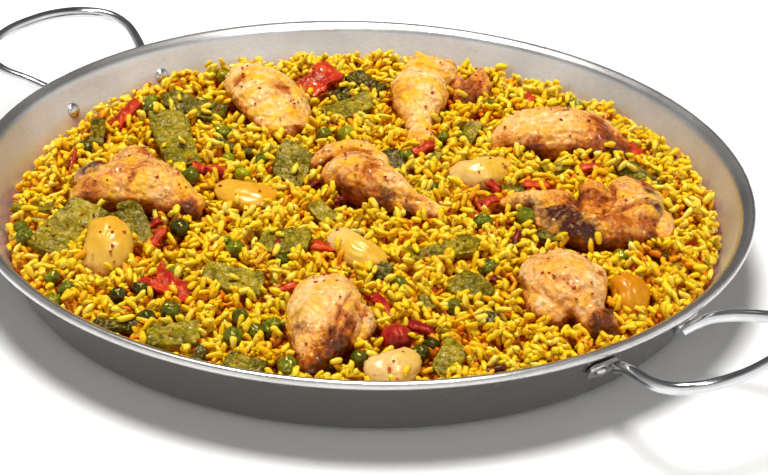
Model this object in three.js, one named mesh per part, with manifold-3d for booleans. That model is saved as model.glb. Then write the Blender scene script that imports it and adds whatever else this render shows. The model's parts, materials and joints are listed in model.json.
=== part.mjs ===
// A paella served in its pan: saffron rice with chicken, butter beans, flat green beans, red pepper and peas,
// in a shallow pan of steel sheet that has a rolled lip and two riveted wire handles.
// Millimetres and degrees, +Z up. The origin is the centre of the pan's flat underside.
// The handles lie along X.
import * as THREE from "three";
import { mergeVertices } from "three/addons/utils/BufferGeometryUtils.js";
import Module from "manifold-3d";

const wasm = await Module();
wasm.setup();

// Driving dimensions of the pan.
const rimRadius = 200; // over the rolled lip
const panHeight = 40;
const baseRadius = 170.5; // the flat underside
const cornerRadius = 8;
const wallSlant = 28; // of the wall from the vertical
const sheet = 1.3; // thickness of the steel
const lipRadius = 2.2; // of the rolled lip's section
const flareHeight = 32; // where the wall starts to bend out to the lip
const fit = 0.4; // gap left between pieces that touch

// Driving dimensions of the handles and their rivets.
const wireRadius = 3;
const handleRoot = 32.3; // height of a handle's plane where it passes under the lip
const rivetAngle = 10; // each rivet's place round the pan, from its handle's middle
const rivetHeight = 24;
const shankRadius = 2;
const innerHead = { radius: 4.2, height: 2 };
const outerHead = { radius: 3.2, height: 1.9 };
const tab = { long: 17, wide: 9.5, thick: 2.4, corner: 2.6, inward: 1.9 };

// Driving dimensions of the food. It is laid out as a diner sees it, x to the right and y away,
// and the diner stands with the handles turned by this much.
const dinerTurn = 42.5;
const riceEdge = 19.5; // height where the rice meets the wall
const riceLevel = 23.5; // mean height of the rice inside that edge

const steel = new THREE.MeshStandardMaterial({ color: 0xb9b6b1, roughness: 0.38, metalness: 1 });
const chrome = new THREE.MeshStandardMaterial({ color: 0xd4d4d8, roughness: 0.12, metalness: 1 });
const saffronRice = new THREE.MeshStandardMaterial({ color: 0xe3ae14, roughness: 0.45, metalness: 0 });
const roastChicken = new THREE.MeshStandardMaterial({ color: 0xd08a48, roughness: 0.4, metalness: 0 });
const butterBean = new THREE.MeshStandardMaterial({ color: 0xe9c074, roughness: 0.35, metalness: 0 });
const greenPod = new THREE.MeshStandardMaterial({ color: 0x78801c, roughness: 0.4, metalness: 0 });
const redPepper = new THREE.MeshStandardMaterial({ color: 0xc4231a, roughness: 0.3, metalness: 0 });
const greenPea = new THREE.MeshStandardMaterial({ color: 0x4d7a1c, roughness: 0.35, metalness: 0 });

const radians = THREE.MathUtils.degToRad;
const slantSine = Math.sin(radians(wallSlant));
const slantCosine = Math.cos(radians(wallSlant));

// Where the outer wall's straight stretch starts, at the end of the corner's arc.
const wallStart = {
  r: baseRadius + cornerRadius * slantCosine,
  z: cornerRadius * (1 - slantSine),
};
const outerWallRadius = (z) => wallStart.r + (z - wallStart.z) * Math.tan(radians(wallSlant));
const innerWallRadius = (z) => outerWallRadius(z) - sheet / slantCosine;

function solidFrom(geometry) {
  const bare = geometry.clone();
  for (const name of Object.keys(bare.attributes)) if (name !== "position") bare.deleteAttribute(name);
  const merged = mergeVertices(bare, 1e-3);
  return new wasm.Manifold(
    new wasm.Mesh({
      numProp: 3,
      vertProperties: new Float32Array(merged.attributes.position.array),
      triVerts: new Uint32Array(merged.index.array),
    }),
  );
}

function geometryFrom(solid) {
  const mesh = solid.getMesh();
  return new THREE.BufferGeometry()
    .setAttribute("position", new THREE.BufferAttribute(new Float32Array(mesh.vertProperties), 3))
    .setIndex(new THREE.BufferAttribute(new Uint32Array(mesh.triVerts), 1));
}

// The largest body of a solid: a cut can leave crumbs beside it.
function largest(solid) {
  return solid.decompose().reduce((a, b) => (b.volume() > a.volume() ? b : a));
}

// The same closed shape with every vertex moved out along its normal.
function grown(geometry, by) {
  const bare = geometry.clone();
  for (const name of Object.keys(bare.attributes)) if (name !== "position") bare.deleteAttribute(name);
  const merged = mergeVertices(bare, 1e-3);
  merged.computeVertexNormals();
  const { position, normal } = merged.attributes;
  for (let i = 0; i < position.count; i++)
    position.setXYZ(
      i,
      position.getX(i) + normal.getX(i) * by,
      position.getY(i) + normal.getY(i) * by,
      position.getZ(i) + normal.getZ(i) * by,
    );
  return merged;
}

// Moves each vertex of a geometry as reshape(vector) says.
function reshaped(geometry, reshape) {
  const { position } = geometry.attributes;
  const v = new THREE.Vector3();
  for (let i = 0; i < position.count; i++) {
    v.fromBufferAttribute(position, i);
    reshape(v);
    position.setXYZ(i, v.x, v.y, v.z);
  }
  return geometry;
}

// A profile of [radius, height] points, turned about +Z.
function turned(points, sides) {
  const profile = points.map(([r, z]) => new THREE.Vector2(r, z));
  return new THREE.LatheGeometry(profile, sides).rotateX(Math.PI / 2);
}

// Points on an arc of a profile, by its angles from the +r direction.
function arcPoints({ r, z }, radius, from, to, steps) {
  return Array.from({ length: steps + 1 }, (_, i) => {
    const a = radians(from + ((to - from) * i) / steps);
    return [r + radius * Math.cos(a), z + radius * Math.sin(a)];
  });
}

// The pan is one pressed sheet: flat base, round corner, slanted wall, and a lip flared and rolled over.
function panSolid() {
  const corner = { r: baseRadius, z: cornerRadius };
  const lip = { r: rimRadius - lipRadius, z: panHeight - lipRadius };
  return solidFrom(
    turned(
      [
        [0, 0],
        ...arcPoints(corner, cornerRadius, -90, -wallSlant, 2),
        [outerWallRadius(flareHeight), flareHeight],
        [outerWallRadius(flareHeight) + 1.5, flareHeight + 2.9],
        ...arcPoints(lip, lipRadius, -135, 90, 5),
        [innerWallRadius(flareHeight) + 2.8, flareHeight + 5.4],
        [innerWallRadius(flareHeight), flareHeight],
        ...arcPoints(corner, cornerRadius - sheet, -wallSlant, -90, 2),
        [0, sheet],
      ],
      52,
    ),
  );
}

// Local axes on the outer wall at an angle round the pan: x along the wall, y up its slope, z out of it.
function onWall(angle, height) {
  const a = radians(angle);
  const along = new THREE.Vector3(-Math.sin(a), Math.cos(a), 0);
  const out = new THREE.Vector3(slantCosine * Math.cos(a), slantCosine * Math.sin(a), -slantSine);
  const up = new THREE.Vector3().crossVectors(out, along);
  const r = outerWallRadius(height);
  return new THREE.Matrix4().makeBasis(along, up, out).setPosition(r * Math.cos(a), r * Math.sin(a), height);
}

// A rivet goes through the wall and a handle's tab, with a low dome on each end. z runs out of the wall.
function rivetGeometry() {
  const inner = -sheet - fit;
  const outer = tab.thick + 2 * fit;
  const dome = ({ radius, height }, base, side) =>
    [0, 45, 90].map((d) => [radius * Math.sin(radians(d)), base + side * height * Math.cos(radians(d))]);
  const points = [
    ...dome(innerHead, inner, -1),
    [shankRadius, inner],
    [shankRadius, outer],
    ...dome(outerHead, outer, 1).reverse(),
  ];
  return turned(points, 9);
}

const rivetHole = () => turned([[0, -6], [shankRadius + fit, -6], [shankRadius + fit, 6], [0, 6]], 10);

// A handle is one bent wire, sloping up a little, whose ends are flattened into tabs that lie on the wall.
function handleSolid(slope) {
  const rise = { x: Math.cos(radians(slope)), z: Math.sin(radians(slope)) };
  const inPlane = ([out, aside]) =>
    new THREE.Vector3(rimRadius + out * rise.x, aside, handleRoot + out * rise.z);
  const bow = [[12, 39.2], [28, 44.8], [40, 43.4], [50.5, 33.5], [57, 17.5]].map(inPlane);
  const root = [[190.5, 25.2, 22.8], [193.8, 28.4, 26], [199.5, 33, 30]].map((p) => new THREE.Vector3(...p));
  const half = [...root, ...bow];
  const otherHalf = half.map((p) => new THREE.Vector3(p.x, -p.y, p.z)).reverse();
  const path = new THREE.CatmullRomCurve3([...half, inPlane([58.7, 0]), ...otherHalf]);
  const section = new THREE.Shape().absarc(0, 0, wireRadius, 0, 2 * Math.PI);
  const wire = new THREE.ExtrudeGeometry(section, { steps: 26, curveSegments: 4, extrudePath: path });
  let solid = solidFrom(wire);
  for (const side of [1, -1]) {
    const plate = new THREE.Shape();
    const [a, b, c] = [tab.long / 2, tab.wide / 2, tab.corner];
    plate.moveTo(-a + c, -b);
    plate.lineTo(a - c, -b).quadraticCurveTo(a, -b, a, -b + c).lineTo(a, b - c);
    plate.quadraticCurveTo(a, b, a - c, b).lineTo(-a + c, b);
    plate.quadraticCurveTo(-a, b, -a, b - c).lineTo(-a, -b + c).quadraticCurveTo(-a, -b, -a + c, -b);
    const flat = new THREE.ExtrudeGeometry(plate, { depth: tab.thick, bevelEnabled: false, curveSegments: 2 })
      .translate(-side * tab.inward, 0, fit)
      .applyMatrix4(onWall(side * rivetAngle, rivetHeight));
    const hole = rivetHole().applyMatrix4(onWall(side * rivetAngle, rivetHeight));
    solid = solid.add(solidFrom(flat)).subtract(solidFrom(hole));
  }
  return solid;
}

// A cut length of flat bean pod: a thin lens across, square or slanting at its ends, and a little curled.
function podGeometry({ long, wide, thick = 4.2, curl = 1, slant = 0 }) {
  return reshaped(new THREE.BoxGeometry(long, wide, thick, 2, 2, 1), (v) => {
    const u = v.x / (long / 2);
    const w = v.y / (wide / 2);
    v.z = v.z * (1 - 0.5 * w * w) - curl * (1 - u * u) + curl * 0.6 * w * w;
    v.x += slant * v.y - 0.03 * long * u * w * w;
    v.y *= 1 - 0.1 * u ** 4;
  });
}

// A torn strip of roasted pepper: thin, curled along its length and narrower at one end.
function pepperGeometry({ long, wide, thick = 3, curl = 2, taper = 0.25 }) {
  return reshaped(new THREE.BoxGeometry(long, wide, thick, 2, 2, 1), (v) => {
    const u = v.x / (long / 2);
    const w = v.y / (wide / 2);
    v.y *= 1 - taper * (1 + u) + 0.12 * Math.sin(2.4 * u);
    v.z += curl * (w * w - 0.5 * u * u) + 0.5 * Math.sin(3 * u);
  });
}

// A butter bean: a flat kidney with a shallow hollow in one long side.
function beanGeometry({ long, wide, thick }) {
  return reshaped(new THREE.SphereGeometry(1, 8, 5).rotateX(Math.PI / 2), (v) => {
    const hollow = 0.18 * Math.max(0, 1 - 2.5 * v.x * v.x) * Math.max(0, v.y);
    v.set((v.x * long) / 2, ((v.y - hollow + 0.1 * v.x * v.x) * wide) / 2, (v.z * thick) / 2);
  });
}

function ballGeometry({ across, flat = 1 }) {
  return new THREE.SphereGeometry(across / 2, 6, 5).rotateX(Math.PI / 2).scale(1, 1, flat);
}

// Puts a piece in place: turned about the vertical, then leant towards the diner.
function placed(geometry, { x, y, z, turn = 0, lean = 0 }) {
  const pose = new THREE.Matrix4()
    .makeTranslation(x, y, z)
    .multiply(new THREE.Matrix4().makeRotationX(radians(lean)))
    .multiply(new THREE.Matrix4().makeRotationZ(radians(turn)));
  return geometry.applyMatrix4(pose);
}

// A limb of meat: round-ended, along a spine, with a half-width and a half-height at each of its points.
function limbGeometry({ spine, girth, sides = 7, rings = 6 }) {
  const path = new THREE.CatmullRomCurve3(spine.map((p) => new THREE.Vector3(...p)));
  const girthPath = new THREE.CatmullRomCurve3(girth.map(([a, b]) => new THREE.Vector3(a, b, 0)));
  return reshaped(new THREE.SphereGeometry(1, sides, rings), (v) => {
    const t = Math.acos(THREE.MathUtils.clamp(v.y, -1, 1)) / Math.PI;
    const ring = Math.hypot(v.x, v.z);
    const blunt = ring > 1e-6 ? 1 / Math.sqrt(ring) : 0; // fuller ends than an ellipsoid's
    const half = girthPath.getPoint(t).multiplyScalar(blunt);
    const [side, rise] = [v.x * half.x, v.z * half.y];
    const along = path.getTangent(t);
    const aside = new THREE.Vector3(-along.y, along.x, 0).normalize();
    const up = new THREE.Vector3().crossVectors(along, aside);
    v.copy(path.getPoint(t)).addScaledVector(aside, side).addScaledVector(up, rise);
  });
}

const stub = { sides: 6, rings: 4 }; // a short limb has fewer faces

const chicken = {
  chicken_broad_wing: [
    {
      spine: [[-72, 143, 29], [-63, 122, 33], [-50, 98, 31], [-34, 69, 24]],
      girth: [[13, 8], [20, 12], [22, 12], [17, 8]],
    },
  ],
  chicken_drumette_back: [
    {
      spine: [[29, 72, 22], [26, 97, 27], [27, 126, 31], [29, 152, 32]],
      girth: [[8, 6], [12, 9], [18, 13], [14, 12]],
    },
    { spine: [[23, 139, 31], [29, 159, 37]], girth: [[9, 9], [8, 8]], ...stub },
    { spine: [[33, 136, 31], [46, 155, 36]], girth: [[9, 9], [9, 9]], ...stub },
  ],
  chicken_scrap_back: [
    { spine: [[52, 126, 22], [49, 136, 28], [47, 146, 35]], girth: [[6, 6], [7, 6], [4, 4]], ...stub },
    { spine: [[53, 128, 22], [59, 138, 28], [63, 152, 35]], girth: [[6, 6], [7, 7], [4, 4]], ...stub },
  ],
  chicken_breast_right: [
    {
      spine: [[64, 74, 24], [86, 82, 29], [114, 84, 30], [142, 68, 25]],
      girth: [[10, 8], [19, 12], [21, 12], [13, 9]],
      sides: 9,
    },
  ],
  chicken_folded_wing: [
    {
      spine: [[66, 21, 25], [88, 14, 27], [110, 5, 28], [132, 0, 27]],
      girth: [[7, 6], [9, 9], [11, 10], [10, 9]],
    },
    { spine: [[112, 22, 31], [119, 0, 30]], girth: [[9, 9], [10, 10]], ...stub },
    {
      spine: [[128, 37, 27], [138, 22, 33], [141, 4, 32], [124, -18, 28]],
      girth: [[10, 7], [13, 11], [13, 11], [9, 8]],
    },
    {
      spine: [[86, -6, 22], [106, -16, 26], [128, -22, 27], [153, -22, 24]],
      girth: [[7, 6], [11, 9], [12, 11], [9, 8]],
    },
    { spine: [[148, 4, 26], [156, -12, 25], [155, -30, 22]], girth: [[6, 6], [7, 7], [6, 5]], ...stub },
  ],
  chicken_wing_left: [
    {
      spine: [[-152, 6, 23], [-134, 12, 28], [-106, 5, 29], [-76, -14, 24]],
      girth: [[14, 8], [18, 13], [17, 13], [10, 9]],
    },
    { spine: [[-128, 25, 29], [-102, 17, 30]], girth: [[11, 10], [11, 10]], ...stub },
  ],
  chicken_drumette_middle: [
    {
      spine: [[-25, 36, 25], [-8, 27, 29], [14, 12, 28], [47, -9, 25]],
      girth: [[14, 12], [18, 14], [13, 11], [7, 7]],
    },
    { spine: [[-12, 42, 29], [16, 34, 30]], girth: [[10, 9], [10, 8]], ...stub },
  ],
  chicken_wing_front: [
    {
      spine: [[-4, -80, 25], [-10, -104, 30], [-15, -132, 29], [-24, -168, 23]],
      girth: [[11, 7], [17, 11], [18, 12], [8, 8]],
    },
  ],
  chicken_wing_right: [
    {
      spine: [[84, -51, 25], [94, -72, 30], [106, -96, 29], [122, -127, 24]],
      girth: [[11, 7], [19, 11], [18, 12], [9, 8]],
    },
  ],
};

const butterBeans = [
  { x: -124, y: -60, z: 28, turn: 84, lean: 34, long: 36, wide: 28, thick: 16 },
  { x: -59, y: 9, z: 24.5, turn: -14, lean: 6, long: 36, wide: 25, thick: 12 },
  { x: 62, y: 41, z: 26.5, turn: 18, lean: 14, long: 35, wide: 24, thick: 14 },
  { x: -1, y: -49, z: 26.5, turn: -40, lean: 16, long: 38, wide: 21, thick: 12 },
  { x: 132, y: -85, z: 27, turn: 100, lean: 28, long: 27, wide: 21, thick: 13 },
  { x: 19, y: -160, z: 25.5, turn: 24, lean: 18, long: 29, wide: 23, thick: 13 },
];

const pods = [
  { x: -100, y: 64, z: 27.5, turn: 106, lean: 10, long: 50, wide: 20, curl: 1.6, slant: 0.15 },
  { x: -93, y: 106, z: 26.5, turn: -24, lean: 12, long: 36, wide: 15, curl: 1.4 },
  { x: -1, y: 141, z: 27.5, turn: -38, lean: 12, long: 22, wide: 11, thick: 6, curl: 2 },
  { x: -10, y: 110, z: 27, turn: 34, lean: 12, long: 30, wide: 15, slant: 0.3 },
  { x: -37, y: 40, z: 27.5, turn: 78, lean: 24, long: 26, wide: 19, slant: 0.3 },
  { x: -146, y: -38, z: 26.5, turn: 58, lean: 14, long: 42, wide: 23, curl: 1.4 },
  { x: -112, y: -33, z: 27, turn: -68, lean: 34, long: 27, wide: 13, slant: 0.2 },
  { x: -166, y: -12, z: 23.5, turn: -4, lean: -12, long: 23, wide: 9, thick: 3.4 },
  { x: -142, y: 65, z: 25, turn: 84, lean: 46, long: 24, wide: 8, thick: 3.6 },
  { x: -37, y: -42, z: 26, turn: 14, lean: 10, long: 27, wide: 18, slant: 0.25 },
  { x: -60, y: -84, z: 26.5, turn: -16, lean: 12, long: 31, wide: 18, slant: -0.2 },
  { x: -85, y: -138, z: 25.5, turn: 8, lean: 8, long: 25, wide: 17, curl: 1.4 },
  { x: -50, y: -161, z: 24.5, turn: -22, lean: 8, long: 20, wide: 11 },
  { x: 43, y: -48, z: 26.5, turn: 20, lean: 24, long: 36, wide: 11, curl: -2.4 },
  { x: 56, y: -84, z: 26.5, turn: -38, lean: 16, long: 22, wide: 17, curl: -1.6 },
  { x: 45, y: -153, z: 26, turn: 70, lean: 34, long: 21, wide: 13, slant: 0.3 },
  { x: 147, y: 41, z: 25.5, turn: -46, lean: 12, long: 33, wide: 12 },
  { x: 17, y: 45, z: 26.5, turn: -72, lean: 24, long: 22, wide: 10, curl: 1.6 },
  { x: 56, y: 87, z: 26, turn: 70, lean: 16, long: 18, wide: 9, thick: 6 },
  { x: 101, y: 50, z: 25.5, turn: 26, lean: 8, long: 16, wide: 8, thick: 7 },
  { x: -19, y: -9, z: 25, turn: -52, lean: 18, long: 16, wide: 10 },
];

const peppers = [
  { x: -27, y: 141, z: 28, turn: 48, lean: 20, long: 27, wide: 17, taper: 0.1 },
  { x: -129, y: 91, z: 26, turn: 62, lean: 18, long: 27, wide: 9, thick: 4 },
  { x: -80, y: 32, z: 26.5, turn: -8, lean: 28, long: 18, wide: 10, thick: 4, curl: -2 },
  { x: 88, y: 128, z: 25.5, turn: 72, lean: 26, long: 15, wide: 8 },
  { x: 143, y: 70, z: 25.5, turn: 62, lean: 30, long: 11, wide: 8, thick: 4, taper: 0.1 },
  { x: 32, y: 66, z: 26, turn: 34, lean: 10, long: 14, wide: 6, thick: 4 },
  { x: -91, y: -93, z: 26, turn: -40, lean: 18, long: 26, wide: 19, taper: 0.3 },
  { x: 12, y: -103, z: 26, turn: -58, lean: 14, long: 17, wide: 8, thick: 4 },
];

const peas = [
  { x: -166, y: -45, z: 25, across: 10.5 },
  { x: -88, y: -117, z: 26.5, across: 11 },
  { x: -61, y: -53, z: 26.5, across: 11 },
  { x: -57, y: -138, z: 26, across: 10.5 },
  { x: 36, y: 22, z: 26.5, across: 10 },
  { x: 84, y: -11, z: 29, across: 11 },
  { x: 64, y: -63, z: 27, across: 11 },
];

const tomatoBall = { x: 20, y: -136, z: 27, across: 15.5, flat: 0.92 };

// How much higher or lower than riceEdge the rice stands against the wall, by the angle round the pan.
function edgeSwell(around) {
  const fromDip = Math.abs(Math.atan2(Math.sin(around - radians(171)), Math.cos(around - radians(171))));
  return 2.6 * Math.cos(around - radians(60)) - 4.5 * Math.exp(-((fromDip / radians(28)) ** 2));
}

// Rice: its underside and side follow the pan at a small gap, and its top is uneven and falls at the wall.
function riceSolid() {
  const underside = sheet + fit;
  const nominalEdge = innerWallRadius(riceEdge) - 2 * fit;
  const topRings = [0.94, 0.72, 0.48, 0.24];
  const profile = [
    [0, underside],
    [baseRadius, underside],
    [baseRadius + cornerRadius * 0.4, underside + cornerRadius * 0.22],
    [nominalEdge, riceEdge],
    ...topRings.map((share) => [nominalEdge * share, riceLevel]),
    [0, riceLevel],
  ];
  return solidFrom(
    reshaped(turned(profile, 36), (v) => {
      if (v.z < riceEdge - 1) return;
      const around = Math.atan2(v.y, v.x);
      const wave = Math.sin(v.x / 17 + 1) * Math.cos(v.y / 21 - 0.6) + 0.6 * Math.sin((v.x + v.y) / 9.5);
      if (v.z > riceEdge + 1) {
        v.z += 0.8 * wave + edgeSwell(around) * (Math.hypot(v.x, v.y) / rimRadius) ** 2;
        return;
      }
      v.z += edgeSwell(around);
      const edge = innerWallRadius(v.z) - 2 * fit;
      v.set(edge * Math.cos(around), edge * Math.sin(around), v.z);
    }),
  );
}

// The food is served piece by piece: each later piece is trimmed clear of the ones already there.
const food = [];

function serve(name, geometries, material) {
  const join = (solids) => solids.reduce((a, b) => a.add(b));
  let solid = join(geometries.map(solidFrom));
  const pocket = join(geometries.map((g) => solidFrom(grown(g, 2 * fit))));
  for (const other of food) solid = solid.subtract(other.pocket);
  food.push({ name, solid: largest(solid), pocket, material });
}

const serveEach = (name, list, shape, material) =>
  list.forEach((item, i) => serve(`${name}_${i + 1}`, [placed(shape(item), item)], material));

for (const [name, lobes] of Object.entries(chicken)) serve(name, lobes.map(limbGeometry), roastChicken);
serveEach("butter_bean", butterBeans, beanGeometry, butterBean);
serveEach("flat_bean", pods, podGeometry, greenPod);
serveEach("pepper", peppers, pepperGeometry, redPepper);
serve("cherry_tomato", [placed(ballGeometry(tomatoBall), tomatoBall)], redPepper);
serveEach("pea", peas, ballGeometry, greenPea);

const pockets = food.reduce((rest, { pocket }) => rest.subtract(pocket), riceSolid());
food.push({ name: "rice", solid: largest(pockets), material: saffronRice });

const paella = new THREE.Group();

function addPiece(group, name, geometry, material) {
  const mesh = new THREE.Mesh(geometry, material);
  mesh.name = name;
  group.add(mesh);
}

const handles = { handle_right: { middle: 0, slope: 11.2 }, handle_left: { middle: 180, slope: 10 } };
let pan = panSolid();
for (const { middle } of Object.values(handles))
  for (const side of [1, -1])
    pan = pan.subtract(solidFrom(rivetHole().applyMatrix4(onWall(middle + side * rivetAngle, rivetHeight))));
addPiece(paella, "pan", geometryFrom(pan), steel);

for (const [name, { middle, slope }] of Object.entries(handles)) {
  const handle = new THREE.Group();
  handle.rotation.z = radians(middle);
  addPiece(handle, name, geometryFrom(handleSolid(slope)), chrome);
  [-1, 1].forEach((side, i) => {
    const place = onWall(side * rivetAngle, rivetHeight);
    const rivetName = `${name.replace("handle", "rivet")}_${i + 1}`;
    addPiece(handle, rivetName, rivetGeometry().applyMatrix4(place), chrome);
  });
  paella.add(handle);
}

const serving = new THREE.Group();
serving.rotation.z = radians(dinerTurn);
for (const { name, solid, material } of food) addPiece(serving, name, geometryFrom(solid), material);
paella.add(serving);

export default paella;
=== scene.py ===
import json
import math

import bmesh
import bpy
import numpy as np
from mathutils import Matrix, Vector, noise

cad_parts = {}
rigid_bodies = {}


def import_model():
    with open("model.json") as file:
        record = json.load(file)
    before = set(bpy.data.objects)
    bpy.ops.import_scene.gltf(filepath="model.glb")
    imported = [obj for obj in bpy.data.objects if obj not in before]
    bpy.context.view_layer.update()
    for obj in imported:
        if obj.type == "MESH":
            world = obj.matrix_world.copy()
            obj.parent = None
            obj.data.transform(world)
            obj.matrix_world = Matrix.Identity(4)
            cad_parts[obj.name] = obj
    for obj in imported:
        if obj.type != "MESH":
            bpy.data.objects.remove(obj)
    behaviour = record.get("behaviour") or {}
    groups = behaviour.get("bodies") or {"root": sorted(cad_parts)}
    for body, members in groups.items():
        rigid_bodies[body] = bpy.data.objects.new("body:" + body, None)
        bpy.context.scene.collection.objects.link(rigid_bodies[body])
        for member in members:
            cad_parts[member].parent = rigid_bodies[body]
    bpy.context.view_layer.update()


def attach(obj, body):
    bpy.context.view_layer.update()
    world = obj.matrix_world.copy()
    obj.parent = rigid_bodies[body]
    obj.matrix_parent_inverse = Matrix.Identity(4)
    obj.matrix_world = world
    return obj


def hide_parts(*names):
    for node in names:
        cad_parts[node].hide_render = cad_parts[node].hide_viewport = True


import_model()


# ---- The table and its light ----
# A white table in a white room. A big soft lamp lights the dish from high up behind it, on the left. A bulb
# and a spark only show as glints on what is wet, and the room only shows in the steel. The diner stands in
# front, 42.5 degrees round from the handles, and looks down on the dish.
mm = 0.001
diner_turn = math.radians(42.5)
diner_frame = Matrix.Rotation(diner_turn, 3, "Z")
eye = (12.3, -1388.2, 752.1)  # of the diner, mm, x to the right and y away
eye_elevation = math.radians(28.19)
eye_roll = math.radians(2.207)
sensor_width = 36.0
focal_length = 143.9


def in_place(points):
    """Points that a diner sees, x right, y away and z up in mm, as the part's own metres."""
    return np.asarray(points, float) @ np.array(diner_frame).T * mm


def plain_mesh(name, points, faces=(), edges=()):
    made = bpy.data.meshes.new(name)
    made.from_pydata([tuple(p) for p in points], edges, faces)
    return made


def node(tree, kind, inputs=None, **settings):
    """Adds a node. An input is given by name or number, as a value, a socket or a node."""
    made = tree.nodes.new(kind)
    for setting, value in settings.items():
        setattr(made, setting, value)
    for name, value in (inputs or {}).items():
        if isinstance(value, bpy.types.Node):
            value = value.outputs[0]
        if isinstance(value, bpy.types.NodeSocket):
            tree.links.new(value, made.inputs[name])
        else:
            made.inputs[name].default_value = value
    return made


def shade(code):
    """A six-digit screen colour as linear red, green, blue and alpha."""
    values = [int(code[i : i + 2], 16) / 255 for i in (0, 2, 4)]
    return [v / 12.92 if v < 0.04045 else ((v + 0.055) / 1.055) ** 2.4 for v in values] + [1.0]


def finish(name, **settings):
    """A new material, its node tree and its shader, with the shader's plain settings made."""
    made = bpy.data.materials.new(name)
    made.use_nodes = True
    shader = made.node_tree.nodes["Principled BSDF"]
    for setting, value in settings.items():
        shader.inputs[setting.replace("_", " ")].default_value = value
    return made, made.node_tree, shader


def ramp(tree, factor, *stops):
    """Colours along a factor, as (place, colour code) pairs."""
    made = node(tree, "ShaderNodeValToRGB", {"Fac": factor})
    elements = made.color_ramp.elements
    while len(elements) < len(stops):
        elements.new(0.5)
    for element, (place, code) in zip(elements, stops):
        element.position = place
        element.color = shade(code)
    return made


def math_node(tree, operation, first, second=0.5, third=0.5):
    return node(tree, "ShaderNodeMath", {0: first, 1: second, 2: third}, operation=operation)


def mixed(tree, factor, first, second, blend_type="MIX"):
    """One colour over another by a factor. Each is a colour code, a socket or a node."""
    first, second = [shade(c) if isinstance(c, str) else c for c in (first, second)]
    inputs = {0: factor, 6: first, 7: second}
    return node(tree, "ShaderNodeMix", inputs, data_type="RGBA", blend_type=blend_type).outputs[2]


def stretched(tree, value, low, high, least=0.0, most=1.0):
    """A value that runs from low to high, as one that runs from least to most and no further."""
    inputs = {"Value": value, "From Min": low, "From Max": high, "To Min": least, "To Max": most}
    return node(tree, "ShaderNodeMapRange", inputs)


def give(shader, **patterns):
    """Links patterns, as nodes or sockets, to the shader's inputs."""
    for label, pattern in patterns.items():
        socket = pattern.outputs[0] if isinstance(pattern, bpy.types.Node) else pattern
        shader.id_data.links.new(socket, shader.inputs[label.replace("_", " ")])


camera = bpy.data.objects.new("diner_camera", bpy.data.cameras.new("diner_camera"))
camera.data.sensor_width = sensor_width
camera.data.lens = focal_length
camera.data.clip_end = 20
view_turn = Matrix.Rotation(math.pi / 2 - eye_elevation, 3, "X") @ Matrix.Rotation(eye_roll, 3, "Z")
camera.matrix_world = (diner_frame @ view_turn).to_4x4()
camera.location = in_place(eye)
bpy.context.scene.collection.objects.link(camera)
bpy.context.scene.camera = camera

lamp_colour = (1.0, 0.985, 0.96)
lamps = {  # place, width across, watts, and how it shows: as light on the dish, or as a glint on what is wet
    "soft_lamp": ((-220, 380, 2440), 1.2, 84, "light"),
    "bulb": ((-220, 380, 2440), 0.46, 95, "glint"),
    "spark": ((500, -700, 2200), 0.26, 24, "glint"),
}
for lamp_name, (place, across, watts, shows_as) in lamps.items():
    lamp = bpy.data.objects.new(lamp_name, bpy.data.lights.new(lamp_name, "AREA"))
    lamp.data.shape = "DISK"
    lamp.data.size = across
    lamp.data.energy = watts
    lamp.data.color = lamp_colour
    lamp.location = in_place(place)
    lamp.rotation_euler = (-lamp.location).to_track_quat("-Z", "Y").to_euler()
    lamp.visible_diffuse = shows_as == "light"
    lamp.visible_glossy = shows_as == "glint"
    bpy.context.scene.collection.objects.link(lamp)

windows = (  # where each one is, how near to it its light begins, and its strength
    ((0.95, -0.03, 0.3), 0.72, 0.5),
    ((-0.62, -0.64, 0.45), 0.65, 0.28),
)
window_core = 0.98
room_light, front_light = 0.56, 0.38  # all round, and more of it on the diner's side
ceiling_light = 0.05
backdrop_light = 1.05
dimming = -0.3  # of the room's own light on the dish

room = bpy.data.worlds.new("room")
room.use_nodes = True
bpy.context.scene.world = room
tree = room.node_tree
direction = node(tree, "ShaderNodeTexCoord").outputs["Generated"]
height = node(tree, "ShaderNodeSeparateXYZ", {0: direction}).outputs["Z"]


def towards(x, y, z):
    """How far a direction points to one side of the room, as the diner sees it."""
    side = tuple(diner_frame @ Vector((x, y, z)))
    facing = node(tree, "ShaderNodeVectorMath", {0: direction, 1: side}, operation="DOT_PRODUCT")
    return facing.outputs["Value"]


glow = math_node(tree, "ADD", towards(0, -front_light, 0), room_light)
for side, nearness, strength in windows:
    shine = stretched(tree, towards(*side), nearness, window_core, 0.0, strength)
    glow = math_node(tree, "ADD", glow, shine)
dusk = stretched(tree, towards(0, 1, 0), 0.45, 0.85, 1.0, 0.4)  # the far side of the room is darker
glow = math_node(tree, "MULTIPLY", glow, dusk)
ceiling = stretched(tree, height, 0.4, 0.86)
glow = node(tree, "ShaderNodeMix", {0: ceiling, 2: glow, 3: ceiling_light}, data_type="FLOAT")
rays = node(tree, "ShaderNodeLightPath").outputs
dimmed = math_node(tree, "MULTIPLY_ADD", rays["Is Diffuse Ray"], dimming, 1.0)
glow = math_node(tree, "MULTIPLY", glow, dimmed)
seen = {0: rays["Is Camera Ray"], 2: glow, 3: backdrop_light}
give(tree.nodes["Background"], Strength=node(tree, "ShaderNodeMix", seen, data_type="FLOAT"))
tree.nodes["Background"].inputs["Color"].default_value = (1, 1, 1, 1)

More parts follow.
